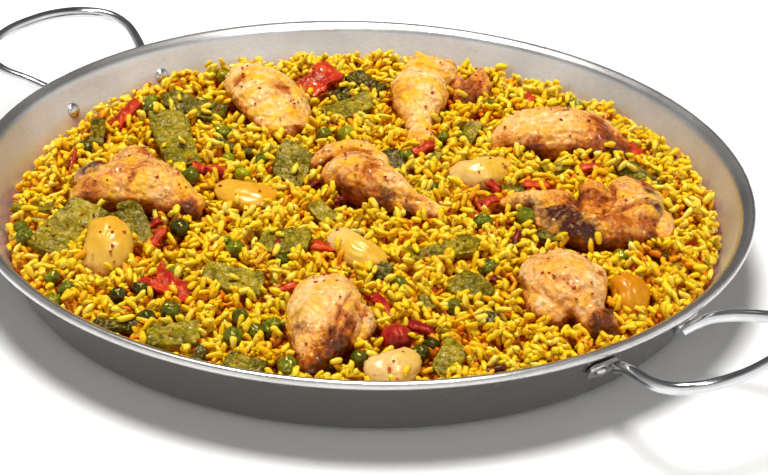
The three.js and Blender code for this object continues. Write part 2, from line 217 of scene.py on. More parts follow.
table_paint, tree, shader = finish("table_paint", Roughness=0.9)
mottle = node(tree, "ShaderNodeTexNoise", {"Scale": 3.0})
give(shader, Base_Color=ramp(tree, mottle, (0.3, "f6f6f6"), (0.7, "fafafa")))
table_size = 6.0
table_drop = 0.0003  # keeps it clear of the base of the pan
corners = [(x * table_size, y * table_size, -table_drop) for x, y in ((-1, -1), (1, -1), (1, 1), (-1, 1))]
table_mesh = plain_mesh("table", corners, [(0, 1, 2, 3)])
table_mesh.materials.append(table_paint)
table = bpy.data.objects.new("table", table_mesh)
bpy.context.scene.collection.objects.link(table)

bpy.context.scene.view_settings.view_transform = "Standard"
bpy.context.scene.view_settings.look = "None"


# ---- The pan ----
# A shallow dish pressed from one sheet of carbon steel: flat base, round corner, slanted wall, and a lip that
# is flared and rolled over. It is spun round its axis, and its satin finish runs round it. Its outside is
# painted darker, as shade.
rim_radius = 200.0
pan_height = 40.0
base_radius = 170.5
corner_radius = 8.0
wall_slant = math.radians(28)
sheet = 1.3
lip_radius = 2.2
flare_height = 30.0
outer_pull, inner_pull = (35, 34.6), (33.5, 34.3)  # what the flare bends towards: first on the wall's line
wall_margin = 3.0  # from the ends of the straight wall to its first and last points
pan_sides = 240
shade_line, matt_line = 34.5, 37.0  # up to where the outside is painted dark, as shade, and the inside is dull
line_fade = 3.0
wall_start_radius = base_radius + corner_radius * math.cos(wall_slant)
wall_start_height = corner_radius * (1 - math.sin(wall_slant))


def outer_wall(z):
    return wall_start_radius + (z - wall_start_height) * math.tan(wall_slant)


def inner_wall(z):
    return outer_wall(z) - sheet / math.cos(wall_slant)


def arc(centre, radius, start, end, steps):
    angles = np.radians(np.linspace(start, end, steps + 1))
    return [(centre[0] + radius * math.cos(a), centre[1] + radius * math.sin(a)) for a in angles]


def bend(start, pull, end, steps):
    """Points on a curve from start to end that leaves and arrives in the direction of pull."""
    points = []
    for t in np.linspace(0, 1, steps + 1)[1:-1]:
        weights = ((1 - t) ** 2, 2 * t * (1 - t), t**2)
        points.append(tuple(sum(w * p[i] for w, p in zip(weights, (start, pull, end))) for i in (0, 1)))
    return points


def pan_profile():
    """The sheet's outline as (radius, height), up the outside, over the lip and down the inside, in mm."""
    lip = (rim_radius - lip_radius, pan_height - lip_radius)
    lip_points = arc(lip, lip_radius, -150, 92, 18)
    straight_heights = np.linspace(wall_start_height + wall_margin, flare_height - wall_margin, 8)
    outer_end = (outer_wall(flare_height), flare_height)
    inner_end = (inner_wall(flare_height), flare_height)
    inner_top = (inner_wall(flare_height) + 3.4, pan_height - 2.3)  # the hollow inside the rolled lip
    step = (lip_points[-1][0] - 1.4, pan_height - 0.5)
    return [
        (0, 0),
        *arc((base_radius, corner_radius), corner_radius, -90, -math.degrees(wall_slant), 10),
        *[(outer_wall(z), z) for z in straight_heights],
        outer_end,
        *bend(outer_end, (outer_wall(outer_pull[0]), outer_pull[1]), lip_points[0], 6),
        *lip_points,
        step,
        *bend(step, (inner_top[0] + 1.4, inner_top[1] + 0.9), inner_top, 4),
        *bend(inner_top, (inner_wall(inner_pull[0]), inner_pull[1]), inner_end, 6),
        inner_end,
        *[(inner_wall(z), z) for z in reversed(straight_heights)],
        *arc((base_radius, corner_radius), corner_radius - sheet, -math.degrees(wall_slant), -90, 8),
        (0, sheet),
    ]


def face_outwards(mesh):
    shell = bmesh.new()
    shell.from_mesh(mesh)
    bmesh.ops.recalc_face_normals(shell, faces=shell.faces)
    shell.to_mesh(mesh)
    shell.free()


def link_piece(name, mesh, material=None):
    """Puts a mesh into the scene as a smooth piece that points outwards and rides on the dish."""
    face_outwards(mesh)
    mesh.shade_smooth()
    if material:
        mesh.materials.clear()
        mesh.materials.append(material)
    mesh.name = name
    piece = bpy.data.objects.new(name, mesh)
    bpy.context.scene.collection.objects.link(piece)
    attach(piece, "root")
    return piece


def new_recipe(name, **numbers):
    """An empty Geometry Nodes tree with geometry and named number inputs, and the sockets of its inputs."""
    recipe = bpy.data.node_groups.new(name, "GeometryNodeTree")
    recipe.interface.new_socket("Geometry", in_out="INPUT", socket_type="NodeSocketGeometry")
    recipe.interface.new_socket("Geometry", in_out="OUTPUT", socket_type="NodeSocketGeometry")
    for label, value in numbers.items():
        kind = "NodeSocketInt" if isinstance(value, int) else "NodeSocketFloat"
        recipe.interface.new_socket(label, in_out="INPUT", socket_type=kind)
    return recipe, node(recipe, "NodeGroupInput").outputs


def grow(recipe, result, seed_mesh, material, **numbers):
    """Ends a recipe, runs it on a mesh with the numbers given, and returns the plain mesh that it makes."""
    real = node(recipe, "GeometryNodeRealizeInstances", {"Geometry": result})
    painted = node(recipe, "GeometryNodeSetMaterial", {"Geometry": real, "Material": material})
    node(recipe, "NodeGroupOutput", {"Geometry": painted})
    carrier = bpy.data.objects.new(recipe.name, seed_mesh)
    bpy.context.scene.collection.objects.link(carrier)
    modifier = carrier.modifiers.new(recipe.name, "NODES")
    modifier.node_group = recipe
    for item in recipe.interface.items_tree:
        if item.in_out == "INPUT" and item.name in numbers:
            modifier[item.identifier] = numbers[item.name]
    bpy.context.view_layer.update()
    graph = bpy.context.evaluated_depsgraph_get()
    made = bpy.data.meshes.new_from_object(carrier.evaluated_get(graph))
    bpy.data.objects.remove(carrier)
    return made


def outline_mesh(name, points):
    return plain_mesh(name, points, edges=[(i, i + 1) for i in range(len(points) - 1)])


def spun(name, profile, sides, material, carrier_radius=100.0):
    """A profile of (radius, height) in mm, spun round the upright axis into a closed metre-sized shell."""
    flat = [((r - carrier_radius) * mm, -z * mm, 0) for r, z in profile]
    recipe, given = new_recipe(name, Sides=1, Radius=1.0)
    hoop = {"Resolution": given["Sides"], "Radius": given["Radius"]}
    circle = node(recipe, "GeometryNodeCurvePrimitiveCircle", hoop)
    section = node(recipe, "GeometryNodeMeshToCurve", {"Mesh": given["Geometry"]})
    wall = node(recipe, "GeometryNodeCurveToMesh", {"Curve": circle, "Profile Curve": section})
    closed = node(recipe, "GeometryNodeMergeByDistance", {"Geometry": wall, "Distance": 1e-5})
    seed_mesh = outline_mesh(name, flat)
    return grow(recipe, closed, seed_mesh, material, Sides=sides, Radius=carrier_radius * mm)


def vertex_array(mesh, field="co"):
    """The points of a mesh, or with "normal" the way out of it at each point."""
    values = np.empty(len(mesh.vertices) * 3)
    if field == "co":
        mesh.vertices.foreach_get("co", values)
    else:
        mesh.vertex_normals.foreach_get("vector", values)
    return values.reshape(-1, 3)


def paint(mesh, **layers):
    """Writes a number at each point of a mesh for its material to read."""
    for name, values in layers.items():
        layer = mesh.attributes.new(name, "FLOAT", "POINT")
        layer.data.foreach_set("value", np.asarray(values, np.float32))


def attribute(tree, name):
    return node(tree, "ShaderNodeAttribute", None, attribute_name=name).outputs["Fac"]


def raised(tree, height, strength, distance):
    """The way a surface faces where a pattern raises it by a distance in metres."""
    return node(tree, "ShaderNodeBump", {"Height": height, "Strength": strength, "Distance": distance})


def satin_steel(name, base, bright, low, high, lines):
    """Steel rubbed round its axis, with cloudy wear and a grain: painted shade where marked, dull where
    'matt'.
    """
    made, tree, shader = finish(name)
    place = node(tree, "ShaderNodeTexCoord").outputs["Object"]
    axes = node(tree, "ShaderNodeSeparateXYZ", {0: place})
    around = math_node(tree, "ARCTAN2", axes.outputs["Y"], axes.outputs["X"])
    radius = node(tree, "ShaderNodeVectorMath", {0: place}, operation="LENGTH").outputs["Value"]
    slope = math_node(tree, "ADD", radius, axes.outputs["Z"])
    rubbed = node(tree, "ShaderNodeCombineXYZ", {0: math_node(tree, "MULTIPLY", around, 0.05), 1: slope})
    streaks = node(tree, "ShaderNodeTexNoise", {"Vector": rubbed, "Scale": lines, "Detail": 4.0})
    clouds = node(tree, "ShaderNodeTexNoise", {"Vector": place, "Scale": 22.0, "Detail": 5.0})
    grain = node(tree, "ShaderNodeTexNoise", {"Vector": place, "Scale": 1400.0, "Detail": 2.0})
    cloud_tint = ramp(tree, clouds, (0.35, base), (0.68, bright))
    tint = mixed(tree, 0.22, cloud_tint, ramp(tree, streaks, (0.3, "8e8b87"), (0.7, "f4f2ee")), "MULTIPLY")
    matt = attribute(tree, "matt")
    relief = math_node(tree, "MULTIPLY_ADD", streaks, 0.6, grain)
    give(
        shader,
        # painted shade: the steel is darker where the piece is marked as lying in shade
        Base_Color=mixed(tree, attribute(tree, "sooty"), tint, "9c9994"),
        Roughness=math_node(tree, "MULTIPLY_ADD", matt, 0.14, stretched(tree, clouds, 0.0, 1.0, low, high)),
        Metallic=math_node(tree, "MULTIPLY_ADD", matt, -0.2, 1.0),
        Normal=raised(tree, relief, 0.16, 0.0004),
    )
    return made


pan_steel = satin_steel("pan_steel", "d0cdca", "e6e4e2", 0.24, 0.32, 900.0)
pan = link_piece("steel_pan", spun("steel_pan", pan_profile(), pan_sides, pan_steel))
points, outward = vertex_array(pan.data), vertex_array(pan.data, "normal")
from_axis, up = np.hypot(points[:, 0], points[:, 1]), points[:, 2] / mm
facing_out = (points[:, 0] * outward[:, 0] + points[:, 1] * outward[:, 1]) / from_axis
# painted shade: the outside below the lip and the underside of the pan are painted darker, as if in shade
underneath = ((facing_out > 0.2) | (outward[:, 2] < -0.3)) * ((shade_line - up) / line_fade).clip(0, 1)
inside = (facing_out < 0) * ((matt_line - up) / line_fade).clip(0, 1)
paint(pan.data, sooty=underneath, matt=inside)
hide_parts("pan")


# ---- The handles ----
# Each handle is one bent 6 mm wire, polished and chromed, which slopes up from under the lip. Its ends are
# hammered into flat tabs that lie on the outside of the wall.
wire_radius = 3.0
handle_root = 32.3
rivet_angle = 10.0
rivet_height = 24.0
tab_length, tab_width, tab_thickness, tab_inward = 17.0, 9.5, 2.4, 1.9
tab_gap = 0.4  # between a tab's face and the line of the wall, mm
tab_corner, tab_edge = 3.4, 0.7
bow_reach = 58.7
bow_points = [[12, 39.2], [28, 44.8], [40, 43.4], [50.5, 33.5], [57, 17.5]]
root_points = [[190.5, 25.2, 22.8], [193.8, 28.4, 26], [199.5, 33, 30]]
handle_slopes = {"handle_right": (0, 11.2), "handle_left": (180, 10.0)}


def smooth_path(points, shares):
    """Places on a smooth curve through points, at shares of its length from 0 to 1, spaced by chord."""
    points = np.asarray(points, float)
    whole = np.vstack([2 * points[0] - points[1], points, 2 * points[-1] - points[-2]])
    places = []
    for share in shares:
        along = share * (len(points) - 1)
        i = min(int(along), len(points) - 2)
        t = along - i
        a, b, c, d = whole[i : i + 4]
        gaps = [max(np.sqrt(np.linalg.norm(q - p)), 1e-4) for p, q in ((a, b), (b, c), (c, d))]
        into = ((b - a) / gaps[0] - (c - a) / (gaps[0] + gaps[1]) + (c - b) / gaps[1]) * gaps[1]
        out_of = ((c - b) / gaps[1] - (d - b) / (gaps[1] + gaps[2]) + (d - c) / gaps[2]) * gaps[1]
        square = 3 * (c - b) - 2 * into - out_of
        cube = 2 * (b - c) + into + out_of
        places.append(b + into * t + square * t**2 + cube * t**3)
    return np.array(places)


def on_wall(angle, height):
    """Axes on the outer wall: x along it, y up its slope and z out of it, in mm."""
    a = math.radians(angle)
    along = Vector((-math.sin(a), math.cos(a), 0))
    level = math.cos(wall_slant)
    out = Vector((level * math.cos(a), level * math.sin(a), -math.sin(wall_slant)))
    up = out.cross(along)
    r = outer_wall(height)
    made = Matrix((along, up, out)).transposed().to_4x4()
    made.translation = (r * math.cos(a), r * math.sin(a), height)
    return made


def handle_path(slope):
    rise = (math.cos(math.radians(slope)), math.sin(math.radians(slope)))
    bow = [(rim_radius + out * rise[0], aside, handle_root + out * rise[1]) for out, aside in bow_points]
    half = [*root_points, *bow]
    crest = (rim_radius + bow_reach * rise[0], 0, handle_root + bow_reach * rise[1])
    path = [*half, crest, *[(x, -y, z) for x, y, z in reversed(half)]]
    return smooth_path(path, np.linspace(0, 1, 141))


def bent_wire(name, points, material):
    """A round wire along a path in mm, with closed ends."""
    recipe, given = new_recipe(name, Radius=1.0, Sides=1)
    path = node(recipe, "GeometryNodeMeshToCurve", {"Mesh": given["Geometry"]})
    hoop = {"Resolution": given["Sides"], "Radius": given["Radius"]}
    circle = node(recipe, "GeometryNodeCurvePrimitiveCircle", hoop)
    sweep = {"Curve": path, "Profile Curve": circle, "Fill Caps": True}
    wire = node(recipe, "GeometryNodeCurveToMesh", sweep)
    seed_mesh = outline_mesh(name, (points * mm).tolist())
    return grow(recipe, wire, seed_mesh, material, Radius=wire_radius * mm, Sides=28)


def hammered_tab(shell, side):
    """Adds a flat tab with soft edges and round corners to a bmesh, in metres."""
    block = bmesh.new()
    bmesh.ops.create_cube(block, size=1)
    bmesh.ops.scale(block, vec=(tab_length, tab_width, tab_thickness), verts=block.verts)
    upright = [e for e in block.edges if abs((e.verts[0].co - e.verts[1].co).z) > 1]
    bmesh.ops.bevel(block, geom=upright, offset=tab_corner, segments=6, affect="EDGES", profile=0.5)
    flat = [e for e in block.edges if abs((e.verts[0].co - e.verts[1].co).z) < 0.1]
    bmesh.ops.bevel(block, geom=flat, offset=tab_edge, segments=3, affect="EDGES", profile=0.5)
    bmesh.ops.translate(block, vec=(-side * tab_inward, 0, tab_gap + tab_thickness / 2), verts=block.verts)
    place = Matrix.Diagonal((mm, mm, mm, 1)) @ on_wall(side * rivet_angle, rivet_height)
    bmesh.ops.transform(block, matrix=place, verts=block.verts)
    scratch = bpy.data.meshes.new("tab")
    block.to_mesh(scratch)
    shell.from_mesh(scratch)
    block.free()


def chrome_plate():
    made, tree, shader = finish("chrome_plate", Metallic=1.0)
    place = node(tree, "ShaderNodeTexCoord").outputs["Object"]
    clouds = node(tree, "ShaderNodeTexNoise", {"Vector": place, "Scale": 60.0, "Detail": 4.0})
    draw_lines = node(tree, "ShaderNodeTexNoise", {"Vector": place, "Scale": 420.0, "Detail": 3.0})
    give(
        shader,
        Base_Color=ramp(tree, clouds, (0.3, "c9cacd"), (0.7, "e2e3e6")),
        Roughness=stretched(tree, clouds, 0.0, 1.0, 0.08, 0.2),
        Normal=raised(tree, draw_lines, 0.12, 0.0003),
    )
    return made


chrome = chrome_plate()
for handle_name, (middle, slope) in handle_slopes.items():
    wire = bent_wire("wire", handle_path(slope), chrome)
    shell = bmesh.new()
    shell.from_mesh(wire)
    for side in (1, -1):
        hammered_tab(shell, side)
    bmesh.ops.rotate(shell, matrix=Matrix.Rotation(math.radians(middle), 3, "Z"), verts=shell.verts)
    shell.to_mesh(wire)
    shell.free()
    handle = link_piece(f"wire_{handle_name}", wire, chrome)
    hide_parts(handle_name)


# ---- The rivets ----
# Four steel rivets hold the tabs to the wall: a round shank with a low polished dome inside the pan and a
# smaller one outside it, over the tab.
shank_radius = 2.0
inner_head = (4.2, 2.0)
outer_head = (3.2, 1.9)
rivet_gap = 0.15


def rivet_profile():
    def dome(head, base, side):
        angles = np.radians(np.linspace(0, 90, 9))
        return [(head[0] * math.sin(a), base + side * head[1] * math.cos(a)) for a in angles]

    inside = -sheet - rivet_gap
    outside = tab_gap + tab_thickness + rivet_gap
    shank = [(shank_radius, inside), (shank_radius, outside)]
    return [*dome(inner_head, inside, -1), *shank, *reversed(dome(outer_head, outside, 1))]


def set_out(name, places, turns, sizes, models, tones_and_shade, material):
    """One mesh of copies of models, at places in the part's frame, each turned, sized and toned."""
    spots = plain_mesh(name, places)
    for label, values in (("turn", turns), ("size", sizes)):
        layer = spots.attributes.new(label, "FLOAT_VECTOR", "POINT")
        layer.data.foreach_set("vector", np.asarray(values, np.float32).ravel())
    paint(spots, **tones_and_shade)
    recipe, given = new_recipe(name, Seed=1)
    shelf = bpy.data.collections.new(name)
    for number, model in enumerate(models):
        shelf.objects.link(bpy.data.objects.new(f"{name}_model_{number}", model))
    shapes = node(recipe, "GeometryNodeCollectionInfo", {"Collection": shelf, "Separate Children": True})
    turn = node(recipe, "GeometryNodeInputNamedAttribute", {"Name": "turn"}, data_type="FLOAT_VECTOR")
    size = node(recipe, "GeometryNodeInputNamedAttribute", {"Name": "size"}, data_type="FLOAT_VECTOR")
    drawn = {4: 0, 5: len(models) - 1, "Seed": given["Seed"]}
    choice = node(recipe, "FunctionNodeRandomValue", drawn, data_type="INT").outputs[2]
    placing = {
        "Points": given["Geometry"],
        "Instance": shapes,
        "Pick Instance": True,
        "Instance Index": choice,
        "Rotation": node(recipe, "FunctionNodeEulerToRotation", {0: turn}),
        "Scale": size,
    }
    copies = node(recipe, "GeometryNodeInstanceOnPoints", placing)
    made = grow(recipe, copies, spots, material, Seed=7)
    for child in list(shelf.objects):
        bpy.data.objects.remove(child)
    bpy.data.collections.remove(shelf)
    return made


rivet_steel = satin_steel("rivet_steel", "c6c3bd", "e4e2de", 0.16, 0.28, 300.0)
rivet = spun("rivet", rivet_profile(), 40, rivet_steel, 3.0)
holes = [on_wall(middle + side * rivet_angle, rivet_height) for middle in (0, 180) for side in (-1, 1)]
places, turns = [hole.translation * mm for hole in holes], [hole.to_euler() for hole in holes]
mesh = set_out("rivets", places, turns, np.ones((len(holes), 3)), [rivet], {}, rivet_steel)
rivets = link_piece("pan_rivets", mesh)
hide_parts("rivet_right_1", "rivet_right_2", "rivet_left_1", "rivet_left_2")


# ---- The chicken ----
# Nine roast pieces, most of them wings and drumsticks with the skin on: pale and peach-coloured where they
# were bedded in the rice, golden to orange-brown where they caught the heat, and dark at some bones. Their
# undersides, creases and sunken folds are painted darker, as shade.
voxel = 0.65  # how finely the skins are made, mm
oily_tint = shade("ffc860")  # of the shine on everything cooked in the saffron oil
random = np.random.default_rng(20)


def capped_rings(rings, sides):
    """The faces of a skin over rings of points, closed by one point at each end."""
    last = 1 + (rings - 1) * sides
    faces = []
    for k in range(sides):
        n = (k + 1) % sides
        faces.append((0, 1 + k, 1 + n))
        faces.append((last, last - sides + n, last - sides + k))
        for i in range(rings - 2):
            row = 1 + i * sides
            faces.append((row + k, row + sides + k, row + sides + n, row + n))
    return faces


def limb(blunt, stations, rings=26, sides=22):
    """A round-ended limb along stations of (x, y, z, half-width, half-height), as (points, faces) in mm."""
    shares = np.linspace(0, 1, rings + 1)
    centres = smooth_path([s[:3] for s in stations], shares)
    halves = smooth_path([(*s[3:], 0) for s in stations], shares)
    steps = np.gradient(centres, axis=0)
    along = steps / np.linalg.norm(steps, axis=1, keepdims=True)
    aside = np.column_stack([-along[:, 1], along[:, 0], np.zeros(len(along))])
    aside /= np.linalg.norm(aside, axis=1, keepdims=True)
    up = np.cross(along, aside)
    ends = np.sin(np.pi * shares).clip(0) ** blunt
    points = [tuple(centres[0])]
    for i in range(1, rings):
        for a in np.linspace(0, 2 * np.pi, sides, endpoint=False):
            offset = aside[i] * halves[i, 0] * np.cos(a) + up[i] * halves[i, 1] * np.sin(a)
            points.append(tuple(centres[i] + offset * ends[i]))
    points.append(tuple(centres[-1]))
    return points, capped_rings(rings, sides)


def welded(name, shapes, grid):
    """Joins closed shapes into one smooth skin on a voxel grid, as a mesh in mm."""
    points, faces = [], []
    for shape_points, shape_faces in shapes:
        faces += [tuple(i + len(points) for i in face) for face in shape_faces]
        points += list(shape_points)
    raw = plain_mesh(name, points, faces)
    face_outwards(raw)
    carrier = bpy.data.objects.new(name, raw)
    bpy.context.scene.collection.objects.link(carrier)
    remesh = carrier.modifiers.new("weld", "REMESH")
    remesh.mode = "VOXEL"
    remesh.voxel_size = grid
    relax = carrier.modifiers.new("relax", "SMOOTH")
    relax.factor = 0.5
    relax.iterations = 3
    graph = bpy.context.evaluated_depsgraph_get()
    made = bpy.data.meshes.new_from_object(carrier.evaluated_get(graph))
    bpy.data.objects.remove(carrier)
    return made


def lumps(points, size, octaves=2, shift=0.0):
    """Soft noise from about -1 to 1 at each point, with features of a size in mm."""
    scaled = points / size + shift
    return np.array([noise.fractal(Vector(p), 0.8, 2.1, octaves) for p in scaled])


def creases(points, size, shift=0.0):
    """Sharp folds: 0 between them and up to 1 along them."""
    scaled = points / size + shift
    return np.array([1 - min(1, abs(noise.noise(Vector(p))) * 3.2) for p in scaled])


def blobs(points, spots):
    """How far each point lies in round spots of (x, y, radius, amount), softly."""
    total = np.zeros(len(points))
    for x, y, radius, amount in spots:
        distance = np.hypot(points[:, 0] - x, points[:, 1] - y) / radius
        total += amount * np.exp(-(distance**2) * 1.4)
    return total


def set_points(mesh, points):
    mesh.vertices.foreach_set("co", np.asarray(points, np.float32).ravel())
    mesh.update()


def pocked(tree, place, size, detail=3.0, roughness=0.6):
    """An uneven pattern from 0 to 1, with features of a size in mm."""
    inputs = {"Vector": place, "Scale": 1000.0 / size, "Detail": detail, "Roughness": roughness}
    return node(tree, "ShaderNodeTexNoise", inputs).outputs[0]


def flecked(tree, tint, pattern, low, high, amount, code):
    """A tint with up to an amount of another colour over it, where a pattern runs from low to high."""
    cover = math_node(tree, "MULTIPLY", stretched(tree, pattern, low, high), amount)
    return mixed(tree, cover, tint, code)


def along_lines(points, lines):
    """How near each point lies to drawn lines of ([(x, y), ...], width, amount), softly."""
    total = np.zeros(len(points))
    for line, width, amount in lines:
        route = smooth_path([(x, y, 0) for x, y in line], np.linspace(0, 1, 30))[:, :2]
        gaps = np.linalg.norm(points[:, None, :2] - route[None], axis=2).min(axis=1)
        total += amount * np.exp(-((gaps / width) ** 2))
    return total


def juicy(name, shine, flesh, oil, **others):
    """A cooked finish. Flesh is (share, depth, reach) of the light that enters, oil is (share, roughness)."""
    made, tree, shader = finish(
        name,
        Specular_IOR_Level=shine,
        Specular_Tint=oily_tint,
        Subsurface_Weight=flesh[0],
        Subsurface_Scale=flesh[1],
        Subsurface_Radius=flesh[2],
        Coat_Weight=oil[0],
        Coat_Roughness=oil[1],
        **others,
    )
    return made, tree, shader, node(tree, "ShaderNodeTexCoord").outputs["Object"]


def roast_skin():
    """Chicken skin and meat: gold to peach by blush, browned by roast and burnt by char; roast and char also
    carry painted shade on the undersides, and roast in the creases and folds too.
    """
    flesh, oil = (0.3, 0.0015, (1.0, 0.35, 0.12)), (0.9, 0.05)
    made, tree, shader, place = juicy("roast_skin", 0.25, flesh, oil, Coat_IOR=1.4)
    soft = pocked(tree, place, 10.0, 4.0)
    fine = pocked(tree, place, 4.0, 0.0)
    specks = pocked(tree, place, 2.2, 2.0)
    skin = mixed(tree, attribute(tree, "blush"), "f0b420", "eeac54")
    skin = flecked(tree, skin, soft, 0.42, 0.6, 0.75, "fbe6b6")
    skin = flecked(tree, skin, specks, 0.48, 0.62, 0.45, "e29a14")
    uneven = math_node(tree, "MULTIPLY_ADD", specks, 0.6, math_node(tree, "MULTIPLY_ADD", soft, 1.3, -0.95))
    # painted shade: this carries the roast layer, which holds shade on the undersides and in the creases
    # besides browning
    heat_and_shade = math_node(tree, "ADD", attribute(tree, "roast"), uneven)
    brown = ramp(tree, heat_and_shade, (0.1, "e29610"), (0.45, "cc7408"), (0.75, "9c4408"), (1.0, "602406"))
    skin = mixed(tree, stretched(tree, heat_and_shade, 0.0, 0.6), skin, brown)
    # painted shade: this carries the char layer, which is also darker on the undersides
    burnt_and_shade = math_node(tree, "ADD", attribute(tree, "char"), uneven)
    follicles = node(tree, "ShaderNodeTexVoronoi", {"Vector": place, "Scale": 420.0, "Randomness": 0.9})
    goose = math_node(tree, "MULTIPLY_ADD", follicles, -0.45, specks)
    give(
        shader,
        Base_Color=mixed(tree, stretched(tree, burnt_and_shade, 0.2, 1.0), skin, "42100c"),
        Roughness=stretched(tree, fine, 0.0, 1.0, 0.22, 0.5),
        Normal=raised(tree, goose, 0.7, 0.001),
        Coat_Normal=raised(tree, fine, 0.9, 0.0022),
    )
    return made


